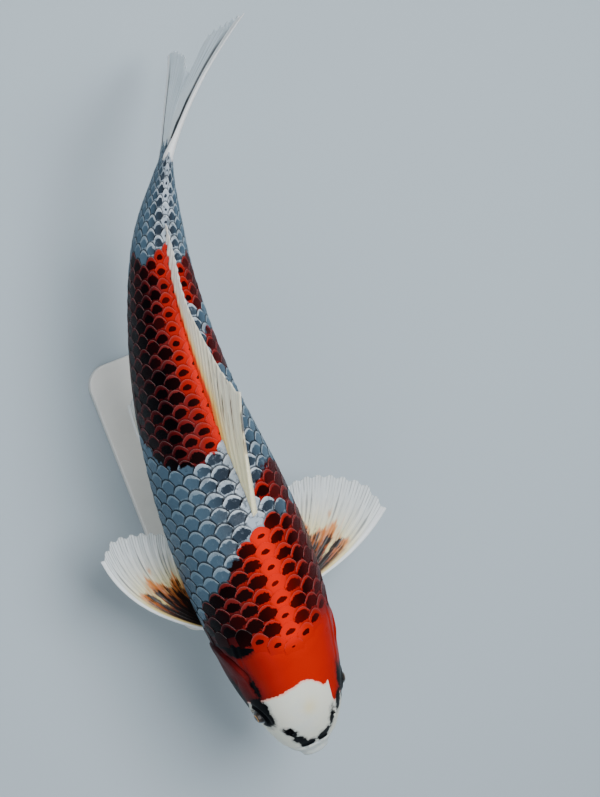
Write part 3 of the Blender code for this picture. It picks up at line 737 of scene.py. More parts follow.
def make_skin():
    """One skin over head, trunk and tail stalk, a grid of rings that are closest together on the head."""
    last = trace_at(TAIL_ROOT)
    fine = np.linspace(0, last, 4000)
    gap = np.interp(fine / MM, *RING_GAPS) * MM
    count = np.concatenate([[0], np.cumsum((fine[1] - fine[0]) / gap[1:])])
    rows = np.interp(np.linspace(0, count[-1], int(count[-1])), count, fine)[1:]
    turn = np.linspace(0, 2 * np.pi, SKIN_SIDES, endpoint=False)
    trace = np.broadcast_to(rows[:, None], (len(rows), SKIN_SIDES))
    angle = np.broadcast_to(turn[None], trace.shape)
    degrees = np.degrees(angle)
    along_mm = np.interp(trace, TRACE_FINE, ALONG_FINE) / MM
    start = scales_from(degrees)
    depth = -SKIN_DEPTH * ease(along_mm, start - 9, start + 3)
    straight = body_point(trace, angle, depth)
    normal = normals_of(straight, wrap=True)
    centre = np.stack([along_mm * MM, 0 * trace, 0 * trace - 0.004], -1)
    normal *= np.sign(((straight - centre) * normal).sum(-1, keepdims=True).mean())
    relief = head_relief(*(np.moveaxis(straight, -1, 0) / MM), degrees)
    straight = straight + normal * (relief * MM)[..., None]
    points = np.concatenate([
        place(straight).reshape(-1, 3),
        place([[-0.0006, 0, -0.0152], [TAIL_ROOT + 0.001, 0, 0]]),
    ])
    faces = [grid_faces(len(rows), SKIN_SIDES, wrap=True), *end_fans(len(rows), SKIN_SIDES)]
    marks, shade = markings(along_mm, degrees)
    black = black_marks_and_gill_shadows(along_mm, (degrees + 90) % 360 - 90)
    _, _, reach, rearward = gill_place(straight[..., 0] / MM, straight[..., 2] / MM)
    # The crease at the gill cover's edge, where shade is painted.
    gill_crease_shade = bump(reach, 1.075, 0.035) * rearward
    tints = np.stack([bump(along_mm, 44.5, 6) * bump(degrees, 93.5, 8), ease(along_mm, 19, 7), gill_crease_shade], -1)

    def with_ends(values):
        flat = values.reshape(trace.size, -1)
        return np.concatenate([flat, flat[:1], flat[-1:]]).squeeze()

    mesh_piece(
        "koi_skin", points, outward(points, faces), paint_skin(), FLESH,
        marks={"marks": with_ends(marks), "shade": with_ends(shade), "black": with_ends(black),
               "tints": with_ends(tints)},
    )


# ---- the scales, on a lattice whose rows run along the body and are staggered by half a pitch ----

ROWS = 26
EDGE_REACH = 0.56  # of a scale's free edge behind the middle of its cell, in pitches
EDGE_BOW = 1.15  # how fast that edge falls back towards its sides
SCALE_HALF = 0.62  # of a scale's width, in row spacings
SCALE_FRONT = -1.12  # of a scale's root, in pitches
REAR_PIECES_FROM = 214  # where the pieces of rear scales begin, along in millimetres
# The distance from one scale to the next in its row: the place along, and the pitch there.
PITCHES = np.array([(60, 11.4), (142, 11.4), (200, 10.4), (247, 9.7), (320, 9.6), (360, 9.4), (400, 8.7),
                    (432, 8.2), (460, 7.6)])
LATTICE_ZERO = 108.2  # where the step numbered 0 lies, along in millimetres
LATTICE_GAP = 0.5
LATTICE_ALONG = np.arange(60, 460, LATTICE_GAP)
LATTICE_STEPS = np.cumsum(LATTICE_GAP / np.interp(LATTICE_ALONG, PITCHES[:, 0], PITCHES[:, 1]))
LATTICE_STEPS -= np.interp(LATTICE_ZERO, LATTICE_ALONG, LATTICE_STEPS)


def scales_from(turn):
    """Where the scales begin, in millimetres along, for a turn in degrees: furthest forward on the nape."""
    return 106 - 15 * bump((turn + 90) % 360 - 90, 92, 38)


def row_turn(row, along):
    """The angle of a row of scales: evenly spaced in front, and wider apart on the back at the rear."""
    crest = 92.5 - 2.5 * ease(along, 165, 200)
    spread = 10.5 * ease(along, 195, 290)
    return crest + 360 / ROWS * row + spread * np.sin(2 * np.pi * row / ROWS)


def spot_sizes(row, along, turn):
    """How large each scale's dark spot is, against a usual one.

    Spots are small dashes on the mid row and where the scales begin, smaller beside the rear patch's
    ridge and on the stalk, and as large as their scales behind the right gill cover.
    """
    behind, is_red = along - scales_from(turn), red_depth(along, turn) > 0
    size = 1 + 0.2 * rng.uniform(-1, 1, len(row))
    size = size * np.where(row == 0, 0.42, 1.0) * (0.4 + 0.6 * ease(behind, 0, 14))
    size = np.where((np.abs(turn - 144) < 20) & (behind < 9), 1.9, size)
    in_rear = is_red & (along > REAR_PATCH_FROM)
    size = size * np.where(in_rear, 0.9, 1.0)
    size = size * np.where(in_rear & (row != 0), 0.66 + 0.34 * ease(np.abs(turn - 91), 14, 30), 1.0)
    size = size * (1 - 0.12 * ease(along, 355, 370))
    return size * np.where((row == 0) & ~is_red & (along < 240), 0.02, 1.0)


def make_scales():
    """Every scale as a thin closed plate, with its root in the skin and its rear edge free."""
    row, step = np.meshgrid(np.arange(ROWS) - ROWS // 2 + 1, np.arange(-4, 42), indexing="ij")
    row, step = row.ravel().astype(float), step.ravel().astype(float)
    step = step + np.where(row % 2 == 0, 0.5, 0.0)
    along = np.interp(step, LATTICE_STEPS, LATTICE_ALONG)
    turn = (row_turn(row, along) + 90) % 360 - 90
    last = 436 + 5 * np.cos(np.radians(turn * 2)) ** 2
    kept = (along > scales_from(turn)) & (along < last)
    row, step, along, turn = (values[kept] for values in (row, step, along, turn))
    count = len(row)
    seed = rng.uniform(-1, 1, count)
    size = spot_sizes(row, along, turn)

    across = np.linspace(-1, 1, 9)
    down = np.array([0, 0.22, 0.44, 0.62, 0.78, 0.91, 1.0])
    j, i = np.meshgrid(across, down)
    yy = j * SCALE_HALF * (1 - 0.18 * (1 - i) ** 2)
    rear = EDGE_REACH - EDGE_BOW * yy**2
    xx = SCALE_FRONT + (rear - SCALE_FRONT) * i
    kinds = np.column_stack([seed, ease(along - scales_from(turn), 7, 16), 0 * seed])
    lift = 0.10 + rng.uniform(-0.07, 0.09, count)  # of the free edge over the body's form
    skew = rng.uniform(-0.03, 0.03, count)

    def surface(x, y, sink):
        """Points at x, y of each scale's cell, lying on the body at a height that rises to the rear."""
        m, r = step[:, None] + x[None], row[:, None] + y[None] + skew[:, None] * x[None]
        place_along = np.interp(m, LATTICE_STEPS, LATTICE_ALONG)
        angle = np.radians(row_turn(r, place_along))
        back = (EDGE_REACH - EDGE_BOW * y**2) - x
        height = lift[:, None] - 0.66 * back[None] + 0.10 * (1 - (y / SCALE_HALF) ** 2)[None]
        return skin_point(place_along * MM, angle, (height - sink) * MM), place_along, np.degrees(angle)

    # A scale's faces: the sheet on top, the wall round it, and one face below.
    sheet, rim = grid_faces(*xx.shape), rim_of(*xx.shape)
    under = np.arange(len(rim)) + xx.size
    wall = np.stack([rim, np.roll(rim, -1), np.roll(under, -1), under], -1)
    groups = (sheet, wall, under[None])
    xx, yy = xx.ravel(), yy.ravel()
    top, top_along, top_turn = surface(xx, yy, 0.0)
    low, low_along, low_turn = surface(xx[rim], yy[rim], 0.24)
    points = np.concatenate([top, low], 1)
    per = points.shape[1]

    # Marks: mostly read at the scale's middle, so that the edge of a patch runs round whole scales.
    own_along, own_turn = np.concatenate([top_along, low_along], 1), np.concatenate([top_turn, low_turn], 1)
    marks, shade = markings(own_along, own_turn)
    marks[..., 0] = 0.7 * markings(along, turn)[0][:, None, 0] + 0.3 * marks[..., 0]
    shade[..., 0] = np.clip(shade[..., 0] + 0.16 * seed[:, None], -1, 1)
    cell = np.empty((count, per, 3))
    cell[..., 0] = np.concatenate([xx, xx[rim]])
    cell[..., 1] = np.concatenate([yy, yy[rim]])
    cell[..., 2] = size[:, None]

    # The map: one patch for each scale, at its place on the unwrapped body.
    u = (xx - SCALE_FRONT) / (EDGE_REACH - SCALE_FRONT)
    v = yy / SCALE_HALF / 2 + 0.5
    inner = np.stack([0.06 + 0.74 * u, 0.08 + 0.84 * v], -1)
    outer = (inner[rim] - 0.5) * 1.08 + (0.5, 0.5)
    corner = inner[rim] * 0.1 + (0.88, 0.45)
    lookup = np.concatenate([inner, outer])
    patches = (lookup[sheet], lookup[wall], corner[None])

    paint = paint_scale()
    for half, front in (("front", True), ("rear", False)):
        for side, left in (("left", True), ("right", False)):
            number = np.nonzero(((along < REAR_PIECES_FROM) == front) & ((row <= 0) == left))[0]
            shift = (np.arange(len(number)) * per)[:, None, None]
            piece_points = place(points[number]).reshape(-1, 3)
            faces = [(group + shift).reshape(-1, group.shape[1]) for group in groups]
            piece_faces = outward(piece_points, faces)
            way = 1 if piece_faces[0] is faces[0] else -1
            cells = np.column_stack([step[number], row[number]])
            corner_uv = (cells - cells.min(0))[:, None, None]
            scale_uv = 1 / (np.ptp(cells, axis=0) + 1)
            maps = [((corner_uv + patch[:, ::way]) * scale_uv).reshape(-1, 2) for patch in patches]
            mesh_piece(
                f"koi_scales_{half}_{side}", piece_points, piece_faces, paint,
                maps={"OFBake": np.concatenate(maps)},
                marks={
                    "marks": marks[number].reshape(-1, 3), "shade": shade[number].reshape(-1, 3),
                    "cell": cell[number].reshape(-1, 3), "seed": np.repeat(kinds[number], per, axis=0),
                },
                sharp=42,
            )


# ---- fins: fans of rays, u across the rays from 0 to 1 and v along them from root to margin ----

def ridge_fin_point(shape, u, v, sign):
    """A point of the dorsal fin (sign 1) or the anal fin (sign -1), whose roots follow the body's midline.

    Each ray runs back from its root while it rises, and the fin leans to the left more towards its margin.
    """
    root, tip = between(shape["roots"], u) * MM, between(shape["tips"], u**0.9) * MM
    height = (shape["height"] * (0.5 * (1 - u) + 0.5 * (1 - u) ** 8) + 2.0) * MM
    along = root + (tip - root) * v
    rise = -FIN_SINK + (height + FIN_SINK) * v
    ridge = body_point(trace_at(along), np.full_like(along, sign * np.pi / 2))[..., 2]
    lean = np.radians(between(shape["lean"], v))
    return np.stack([along, rise * np.sin(lean), ridge + sign * rise * np.cos(lean)], -1)


def tail_point(lobe, u, v):
    """A point of one lobe of the tail fin: rays fan out from the root, longest at the lobe's outer edge."""
    heights, angles, lengths, (swing, growth, fading) = lobe
    length = (lengths[1] + (lengths[0] - lengths[1]) * (1 - u**1.15)) * MM * v
    angle = np.radians(angles[1] + (angles[0] - angles[1]) * (1 - u) ** 1.2)
    up = between(heights, u) * MM + length * np.sin(angle)
    side = swing * MM * np.maximum(v, 0) ** growth * (1 - u) ** fading
    return np.stack([TAIL_ROOT - TAIL_SINK + length * np.cos(angle), side, up], -1)


def paired_point(shape, setting, u, v):
    """A point of a left fin: rays fan from a short root low on the flank, swept back and drooping."""
    (sweeps, droops, bow, bulge), (first, longest, last) = setting, shape["lengths"]
    turn = np.radians(between(shape["turns"], u))
    root = body_point(trace_at(between(shape["roots"], u) * MM), turn)
    root = root - FIN_SINK * np.stack([0 * u, np.cos(turn), np.sin(turn)], -1)
    shorter = (1 - u) / 0.85
    length = np.where(u < 0.15, between((first, longest), u / 0.15), between((last, longest), shorter))
    length = length + bulge * np.sin(np.pi * u) ** 2
    sweep = np.radians(between(sweeps, u) + bow * v**1.5)
    droop = np.radians(between(droops, u) - 6 * v)
    ray = np.stack([np.sin(sweep) * np.cos(droop), np.cos(sweep) * np.cos(droop), -np.sin(droop)], -1)
    return root + ray * (length * v)[..., None] * MM


def ray_profile(u, v, rays):
    """How much of a ray lies here, from 0 between rays to 1 on one, and how deep its notch is.

    The rays are round ridges that split in two at half their length and again near the margin.
    """
    phase = u * rays
    whole = np.cos(2 * np.pi * phase) * 0.5 + 0.5
    halves = np.cos(4 * np.pi * phase) * -0.5 + 0.5
    quarters = np.cos(8 * np.pi * phase) * -0.5 + 0.5
    split, again = ease(v, 0.42, 0.62), ease(v, 0.78, 0.92)
    ridge = whole**2 * (1 - split) + halves**2 * split * (1 - again) + quarters * again * split
    return ridge, 1 - whole


def make_fin(name, at, rays, steps, thickness, paint, across=8, notch=0.03):
    """A fin as a closed plate: a membrane with rays raised on both faces and a scalloped margin.

    at(u, v) gives the straight fish's point; thickness is the root's and the margin's, in millimetres.
    """
    u = np.linspace(0, 1, rays * across + 1)[:, None] + np.zeros((1, steps))
    v = np.zeros_like(u) + np.linspace(0, 1, steps)[None] ** 0.9
    ridge, hollow = ray_profile(u, v, rays)
    reach = v * (1 - notch * hollow * v**5)
    middle = at(u, reach)
    normal = normals_of(middle)
    ripple = 0.5 * MM * v**1.2 * np.cos(2 * np.pi * u * rays) * np.minimum(1, 12 * u)
    ripple += 1.1 * MM * v**2 * np.sin(u * 11 + 2.2 * v)
    ripple *= np.minimum(1, 8 * v)
    middle = middle + normal * ripple[..., None]
    normal = normals_of(middle)
    root, margin = thickness
    body = min(1.6, root * 0.5)
    foot = (root * 0.8 - body - margin) * (1 - v) ** (2.2 + 1.6 * max(root - 3.2, 0))
    web = margin + body * (1 - v) ** 1.6 + foot
    thick = web + (0.55 * (1 - v) + 0.16) * ridge
    edge_ray = np.exp(-((u * rays / 0.55) ** 2))
    thick = thick + edge_ray * (1.1 * (1 - v) + 0.15)
    shift = normal * (thick * MM / 2)[..., None]
    count = u.size
    sheet, rim = grid_faces(*u.shape), rim_of(*u.shape)
    wall = np.stack([rim, np.roll(rim, -1), np.roll(rim, -1) + count, rim + count], -1)
    points = place(np.concatenate([(middle + shift).reshape(-1, 3), (middle - shift).reshape(-1, 3)]))
    faces = outward(points, [sheet[:, ::-1], sheet + count, wall])
    fan = np.stack([u, v, ridge], -1).reshape(-1, 3)
    mesh_piece(name, points, faces, paint, (name,),
               marks={"fan": np.concatenate([fan, fan]), "edge": np.tile(edge_ray.ravel(), 2)})


def make_ray_lines():
    """Lines along a fin's rays: the hollows between them, here and there darker, and their joints."""
    g, given, made = new_group(
        "ray_lines", {"Fan": "Vector", "Rays": "Float"}, {"Groove": "Float", "Joints": "Float"},
    )
    u, v, ridge = g.parts(given["Fan"])
    fine = g.noise(g.join(g.mul(u, given["Rays"], 4.0), g.mul(v, 2.0), 4.1), 1.0, 2.0)
    g.put(made["Groove"], g.mul(g.step(ridge, 0.45, 0.0), g.step(fine, 0.3, 0.65)))
    g.put(made["Joints"], g.mul(g.math("SINE", g.mul(v, 210.0)), ridge))
    return g.tree


RAY_LINES = make_ray_lines()


def paint_fin(name, rays, solidity=0.86):
    """The base of a fin's material: its graph and shader, u and v of its fan, and its grooves.

    Solidity is how little shows through the web at the margin.
    """
    material, g, shader = new_material(name, Coat_Weight=0.1, Coat_Roughness=0.15, IOR=1.42,
                                       Specular_IOR_Level=0.3, Subsurface_Weight=0.75, Subsurface_Scale=0.006)
    shader["Subsurface Radius"].default_value = (1.0, 0.9, 0.8)
    fan = g.mark("fan")
    u, v, ridge = g.parts(fan)
    grain = g.group(WET_GRAIN, size=1100.0, low=0.28, high=0.46)
    lines = g.group(RAY_LINES, fan=fan, rays=float(rays))
    relief = g.add(g.mul(grain["Height"], 0.5), g.mul(lines["Joints"], 0.4))
    g.surface(shader, None, grain["Roughness"], relief, 0.2, 0.0004)
    solid = g.add(g.step(v, 1.0, 0.45, solidity, 1.0), g.mul(ridge, 0.12))
    g.put(shader["Alpha"], g.math("MINIMUM", solid, 1.0))
    return material, g, shader, u, v, lines["Groove"]


def paint_paired(name, rays, leading):
    """A paired or anal fin: a white leading edge, dark and rust streaks, a cream middle and a pale margin.

    Leading is how far across the fan the streaks keep their full strength.
    """
    material, g, shader, u, v, groove = paint_fin(name, rays)
    cream = g.mix(g.step(v, 0.4, 0.95), srgb(228, 206, 140), srgb(222, 228, 226))
    cream = g.mix(g.mul(groove, g.step(v, 0.35, 0.8, 0.1, 0.9)), cream, srgb(58, 68, 74))
    lines = g.mul(u, float(rays))
    rust = g.noise(g.join(g.mul(lines, 1.1), g.mul(v, 3.0), 7.3), 1.0, 2.0, 0.6)
    dark = g.noise(g.join(g.mul(lines, 1.6), g.mul(v, 5.0), 2.9), 1.0, 3.0, 0.65)
    ahead = g.mul(g.step(u, 0.035, 0.10), g.step(u, leading + 0.28, leading))
    rust_on = g.mul(g.step(g.add(rust, g.step(v, 1.0, 0.1, 0.0, 0.66)), 0.76, 0.9), ahead)
    dark_on = g.mul(g.step(g.add(dark, g.step(v, 0.95, 0.1, 0.0, 0.56)), 0.80, 0.92), ahead)
    colour = g.mix(rust_on, cream, g.mix(g.step(v, 0.3, 0.65), srgb(112, 44, 18), srgb(206, 116, 46)))
    colour = g.mix(g.mul(g.step(v, 0.36, 0.12, 0.0, 0.85), ahead), colour, srgb(58, 34, 24))
    colour = g.mix(dark_on, colour, srgb(20, 9, 7))
    edge = g.mark("edge", "Fac")
    colour = g.mix(g.step(edge, 0.35, 0.75), colour, srgb(238, 242, 242))
    g.put(shader["Base Color"], colour)
    return material


def paint_dorsal():
    """The dorsal fin: cream, with a yellow and red foot, and dark streaks between the first rays."""
    material, g, shader, u, v, groove = paint_fin("dorsal_fin", 20, 0.97)
    colour = g.mix(g.step(u, 0.3, 0.8), srgb(255, 236, 192), srgb(255, 243, 220))
    foot = g.mul(g.step(v, 0.75, 0.35), g.step(u, 0.12, 0.26))
    colour = g.mix(g.mul(foot, g.step(u, 0.9, 0.5, 0.0, 0.85)), colour, srgb(250, 186, 70))
    hot = g.mul(g.step(v, 0.48, 0.32), g.step(u, 0.24, 0.34), g.step(u, 0.97, 0.85))
    colour = g.mix(hot, colour, srgb(236, 52, 8))
    dark = g.noise(g.join(g.mul(u, 52.0), g.mul(v, 2.0), 5.2), 1.0, 3.0, 0.6)
    window = g.mul(g.step(u, 0.36, 0.18), g.step(v, 0.35, 0.75))
    colour = g.mix(g.mul(g.step(dark, 0.54, 0.62), window), colour, srgb(62, 58, 56))
    colour = g.mix(g.mul(groove, g.step(v, 0.2, 0.7, 0.05, 0.4)), colour, srgb(150, 152, 148))
    g.put(shader["Base Color"], colour)
    return material


def paint_tail():
    """The tail fin: a bright white outer edge with a dark line inside it, and pale blue webs."""
    material, g, shader, u, v, groove = paint_fin("tail_fin", 12, 0.74)
    colour = g.mix(g.step(v, 0.1, 0.8), srgb(222, 230, 232), srgb(212, 230, 240))
    colour = g.mix(g.mul(groove, g.step(v, 0.2, 0.7, 0.2, 0.6)), colour, srgb(108, 134, 152))
    wide = g.mul(g.step(v, 0.5, 0.0), 0.22)
    inside = g.step(u, g.add(wide, 0.18), g.add(wide, 0.13))
    line = g.mul(g.step(u, 0.062, 0.075), inside, g.step(v, 1.0, 0.75))
    colour = g.mix(line, colour, srgb(8, 12, 18))
    g.put(shader["Base Color"], g.mix(g.step(u, 0.076, 0.06), colour, srgb(250, 252, 250)))
    return material


def make_fins():
    """All the fins, each over its solid's place."""
    make_fin("dorsal_fin", lambda u, v: ridge_fin_point(DORSAL, u, v, 1), 20, 40, (3.2, 0.35), paint_dorsal())
    pale = paint_paired("pelvic_fins", 9, 0.2)
    make_fin("anal_fin", lambda u, v: ridge_fin_point(ANAL, u, v, -1), 7, 34, (2.8, 0.35), pale)
    tail = paint_tail()
    for lobe, shape in TAIL_LOBES.items():
        def lobe_at(u, v, shape=shape):
            """A point of this lobe, whose rays start a little way inside the stalk."""
            return tail_point(shape, u, v - 0.04 * (1 - v))

        make_fin(f"tail_fin_{lobe}", lobe_at, 12, 90, (7.0, 0.35), tail, across=10)
    spread = paint_paired("pectoral_fins", 15, 0.46)
    for name, setting in POSES_OF_PAIRED_FINS.items():
        hand = -1 if name.endswith("right") else 1
        shape, paint, rays = (PECTORAL, spread, 15) if name.startswith("pectoral") else (PELVIC, pale, 9)

        def at(u, v, shape=shape, setting=setting, hand=hand):
            return paired_point(shape, setting, u, v) * (1, hand, 1)

        make_fin(name, at, rays, 64, (3.0, 0.35), paint, notch=0.022)


# ---- eyes and barbels ----

def paint_eye():
    """The eyeball: a black pupil, a thin gold ring and a dark iris with coppery flecks, under a wet coat."""
    material, g, shader = new_material("eye", Coat_Weight=0.9, Coat_Roughness=0.03, IOR=1.38)
    out, angle = g.parts(g.mark("iris"))[:2]
    flecks = g.noise(g.join(g.mul(angle, 3.0), g.mul(out, 9.0), 0.0), 3.0, 4.0, 0.7)
    iris = g.mix(g.step(flecks, 0.42, 0.68), srgb(10, 9, 12), srgb(84, 66, 48))
    iris = g.mix(g.step(out, 0.72, 0.95), iris, srgb(7, 7, 10))
    ring = g.mul(g.step(out, 0.42, 0.46), g.step(out, 0.57, 0.50))
    colour = g.mix(ring, iris, srgb(196, 142, 56))
    colour = g.mix(g.step(out, 0.45, 0.42), colour, srgb(2, 2, 3))
    g.put(shader["Base Color"], colour)
    g.put(shader["Roughness"], g.step(flecks, 0.3, 0.7, 0.2, 0.34))
    return material


def make_eyes():
    """Each eye: a ball whose front swells into a shallow dome, with a step where the dome begins."""
    paint = paint_eye()
    radius = EYE_RADIUS / MM
    tilt = np.concatenate([np.linspace(np.pi, 1.2, 24), np.linspace(1.16, 0, 40)])
    swell = 0.45 * ease(tilt, 0.95, 0.45) - 0.18 * bump(tilt, 1.0, 0.07)
    profile = np.stack([(radius + swell) * np.sin(tilt), (radius + swell) * np.cos(tilt)], -1)
    for side, hand in (("left", 1), ("right", -1)):
        centre = EYE_PLACE * (1, hand, 1)
        gaze = np.array([-0.12, hand * 1.0, 0.16])
        gaze /= np.linalg.norm(gaze)
        first = np.cross(gaze, (0, 0, 1.0))
        first /= np.linalg.norm(first)
        axes = (first, np.cross(gaze, first), gaze)
        points, faces = lathe(profile * MM, 64, centre, axes)
        local = (points - centre) / MM
        out = np.linalg.norm(local - (local @ gaze)[:, None] * gaze, axis=1) / (radius * np.sin(1.0))
        out = np.where(local @ gaze > 0, out, 1.3)
        angle = np.arctan2(local @ axes[0], local @ axes[1])
        posed = place(points)
        mesh_piece(f"eye_{side}", posed, outward(posed, faces), paint, (f"eye_{side}",),
                   marks={"iris": np.column_stack([out, np.abs(angle), 0 * out])})


def paint_barbel():
    """Barbels: pinkish white flesh, greyer towards the tip."""
    material, g, shader = new_material("barbel", Coat_Weight=0.4, Coat_Roughness=0.15, Subsurface_Weight=0.2,
                                       Subsurface_Scale=0.003)
    grain = g.group(WET_GRAIN, size=1400.0, low=0.28, high=0.45)
    run = g.mark("run", "Fac")
    colour = g.mix(g.step(run, 0.1, 0.95), srgb(214, 184, 170), srgb(150, 136, 134))
    colour = g.mix(g.step(grain["Height"], 0.45, 0.7, 0.0, 0.25), colour, srgb(176, 120, 108))
    g.surface(shader, colour, grain["Roughness"], grain["Height"], 0.25, 0.0004)
    return material


def make_barbels():
    """Two pairs of barbels: tapered round tubes with a flared foot and a rounded tip."""
    paint = paint_barbel()
    t, sides = np.linspace(-0.06, 1, 44), 24
    shares = np.stack([2 * (t - 0.5) * (t - 1), -4 * t * (t - 1), 2 * t * (t - 0.5)], -1)
    for name, (root, middle, tip, radius) in BARBELS.items():
        line = shares @ np.array([root, middle, tip]) * MM
        forward = np.gradient(line, axis=0)
        forward /= np.linalg.norm(forward, axis=1, keepdims=True)
        first = np.cross(forward, (0.0, 0.31, 0.95))
        first /= np.linalg.norm(first, axis=1, keepdims=True)
        second = np.cross(forward, first)
        radii = radius * MM * (1 - 0.6 * t) * (1 + 0.7 * np.exp(-((t / 0.12) ** 2)))
        radii = radii * np.sqrt(np.clip((1.001 - t) / 0.05, 0.02, 1)) * (1 + 0.03 * np.sin(t * 60))
        turn = np.linspace(0, 2 * np.pi, sides, endpoint=False)[None, :, None]
        around = np.cos(turn) * first[:, None] + np.sin(turn) * second[:, None]
        rings = line[:, None] + around * radii[:, None, None]
        points = np.concatenate([rings.reshape(-1, 3), line[[0, -1]]])
        run = np.concatenate([np.repeat(t, sides), [0, 1]])
        for side, hand in (("left", 1), ("right", -1)):
            posed = place(points * (1, hand, 1))
            faces = outward(posed, [grid_faces(len(t), sides, wrap=True), *end_fans(len(t), sides)])
            mesh_piece(f"barbel_{name}_{side}", posed, faces, paint, (f"barbel_{name}_{side}",),
                       marks={"run": run})


# ---- the stand ----

def paint_stand_paint():
    """Satin off-white paint with a faint orange-peel surface."""
    material, g, shader = new_material("stand_paint", Coat_Weight=0.15, Coat_Roughness=0.3)
    place = g.object_place()
    peel = g.noise(place, 700.0, 2.0, 0.5)
    broad = g.noise(place, 26.0, 3.0, 0.6)
    colour = g.mix(g.step(broad, 0.3, 0.7), srgb(226, 226, 222), srgb(218, 219, 216))
    g.surface(shader, colour, g.step(broad, 0.3, 0.7, 0.38, 0.48), peel, 0.12, 0.0003)
    return material


def paint_stand_steel():
    """Brushed stainless steel, its fine lines running round the rods."""
    material, g, shader = new_material("stand_steel", Metallic=1.0)
    x, y, z = g.parts(g.object_place())
    lines = g.noise(g.join(g.mul(x, 30.0), g.mul(y, 30.0), g.mul(z, 2600.0)), 1.0, 3.0, 0.7)
    colour = g.mix(lines, srgb(168, 170, 172), srgb(198, 199, 200))
    g.surface(shader, colour, g.step(lines, 0.2, 0.8, 0.22, 0.38), lines, 0.1, 0.0002)
    return material


def make_stand():
    """A flat base with rounded corners and a soft edge, and two rods with round feet."""
    size = np.array(BASE_SIZE) / 2 - BASE_CORNER
    turn, bend = np.linspace(0, np.pi / 2, 20), np.linspace(0, np.pi / 2, 6)
    edge, soft = 1.2 * MM, 0.6 * MM
    levels = [(0.0, 0.3 * MM), (0.3 * MM, 0.0)]
    levels += [(BASE_THICKNESS - edge + edge * np.sin(a), edge * (1 - np.cos(a))) for a in bend]
    rings = []
    for level, shrink in levels:
        arcs = []
        for quarter, signs in enumerate(((1, 1), (-1, 1), (-1, -1), (1, -1))):
            angle = turn + quarter * np.pi / 2
            arcs.append(np.stack([np.cos(angle), np.sin(angle)], -1) * (BASE_CORNER - shrink) + size * signs)
        outline = np.concatenate(arcs)
        rings.append(np.column_stack([outline + BASE_MIDDLE[:2], np.full(len(outline), level)]))
    count = len(rings[0])
    points = np.concatenate(rings)
    bottom, top = np.arange(count)[None], np.arange(count)[None] + (len(rings) - 1) * count
    faces = outward(points, [grid_faces(len(rings), count, wrap=True), bottom, top[:, ::-1]])
    mesh_piece("stand_base", points, faces, paint_stand_paint(), ("stand_base",), sharp=30)
    steel = paint_stand_steel()
    for name, along in ROD_PLACES.items():
        foot = place([along, 0, -50 * MM])
        start, head = BASE_THICKNESS + 0.02 * MM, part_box(f"stand_rod_{name}")[1][2] + 1.5 * MM
        foot_top = start + ROD_FOOT_HEIGHT
        profile = [(0, start), (ROD_FOOT_RADIUS - 0.3 * MM, start), (ROD_FOOT_RADIUS, start + 0.3 * MM),
                   (ROD_FOOT_RADIUS, foot_top - soft)]
        inner, lower = ROD_FOOT_RADIUS - soft, foot_top - soft
        profile += [(inner + soft * np.cos(a), lower + soft * np.sin(a)) for a in bend[1:]]
        profile += [(ROD_RADIUS + 0.8 * MM, foot_top), (ROD_RADIUS + 0.3 * MM, foot_top + 0.3 * MM),
                    (ROD_RADIUS, foot_top + 1.0 * MM), (ROD_RADIUS, head), (0, head)]
        points, faces = lathe(profile, 64, (foot[0], foot[1], 0))
        mesh_piece(f"stand_rod_{name}", points, faces, steel, (f"stand_rod_{name}",), sharp=35)


# ---- floor, light and camera ----

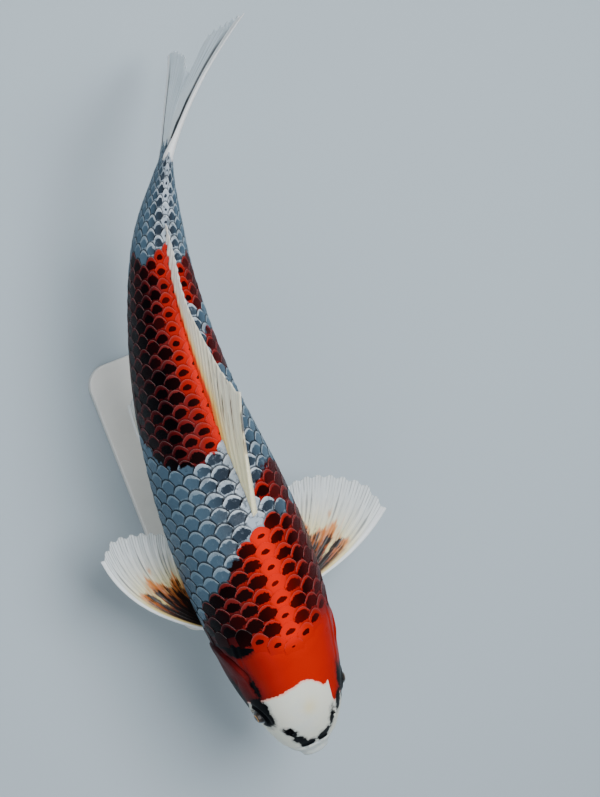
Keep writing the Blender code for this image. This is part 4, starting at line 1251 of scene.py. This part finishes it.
def make_surroundings():
    """A plain pale floor, a soft overhead light, two weaker ones and a dim sky."""
    floor_mesh = bpy.data.meshes.new("floor")
    floor_mesh.from_pydata([(-4, -4, 0), (4, -4, 0), (4, 4, 0), (-4, 4, 0)], [], [(0, 1, 2, 3)])
    floor = bpy.data.objects.new("floor", floor_mesh)
    bpy.context.scene.collection.objects.link(floor)
    material, g, shader = new_material("floor", Roughness=0.7)
    grain = g.noise(g.object_place(), 3.0, 2.0)
    g.put(shader["Base Color"], g.mix(grain, srgb(160, 174, 184), srgb(164, 178, 187)))
    floor_mesh.materials.append(material)

    world = bpy.data.worlds.new("studio")
    bpy.context.scene.world = world
    world.use_nodes = True
    sky = world.node_tree.nodes["Background"].inputs
    sky["Color"].default_value = (0.86, 0.93, 1.0, 1)
    sky["Strength"].default_value = 0.3

    middle = Vector((BASE_MIDDLE[0], BASE_MIDDLE[1], 0.12))
    for name, offset, size, power in (
        ("key", (0.42, 0.25, 1.35), 0.9, 29.0),
        ("fill", (-0.95, -0.3, 0.9), 1.2, 7.0),
        ("back", (0.2, 1.4, 0.8), 0.9, 5.0),
    ):
        light = bpy.data.lights.new(name, "AREA")
        light.size, light.energy = size, power
        lamp = bpy.data.objects.new(name, light)
        lamp.location = middle + Vector(offset)
        lamp.rotation_euler = (middle - lamp.location).to_track_quat("-Z", "Y").to_euler()
        bpy.context.scene.collection.objects.link(lamp)


CAMERA_DISTANCE = 1.05
CAMERA_ROLL = np.radians(21.43)
CAMERA_TILT = np.radians(17)
VIEW_HEIGHT = 0.554712  # of what the picture shows, in metres at the fish's axis
VIEW_OFFSET = (0.0776, 0.0403, AXIS_HEIGHT)  # of the picture's middle from the base's


def make_camera():
    """The camera looks down on the fish, tilted towards the fish's right and rolled."""
    roll, tilt, distance = CAMERA_ROLL, CAMERA_TILT, CAMERA_DISTANCE
    upward = np.array([np.sin(roll), np.cos(roll), 0.0])
    right = np.array([np.cos(roll), -np.sin(roll), 0.0])
    view = np.sin(tilt) * right - np.cos(tilt) * np.array([0, 0, 1.0])
    across = np.cos(tilt) * right + np.sin(tilt) * np.array([0, 0, 1.0])
    target = BASE_MIDDLE + VIEW_OFFSET
    camera = bpy.data.cameras.new("camera")
    camera.sensor_fit = "VERTICAL"
    camera.angle_y = 2 * np.arctan(VIEW_HEIGHT / 2 / distance)
    holder = bpy.data.objects.new("camera", camera)
    matrix = np.eye(4)
    matrix[:3, 0], matrix[:3, 1], matrix[:3, 2] = across, upward, -view
    matrix[:3, 3] = target - distance * view
    holder.matrix_world = Matrix(matrix.tolist())
    bpy.context.scene.collection.objects.link(holder)
    bpy.context.scene.camera = holder


make_skin()
make_scales()
make_fins()
make_eyes()
make_barbels()
make_stand()
make_surroundings()
make_camera()
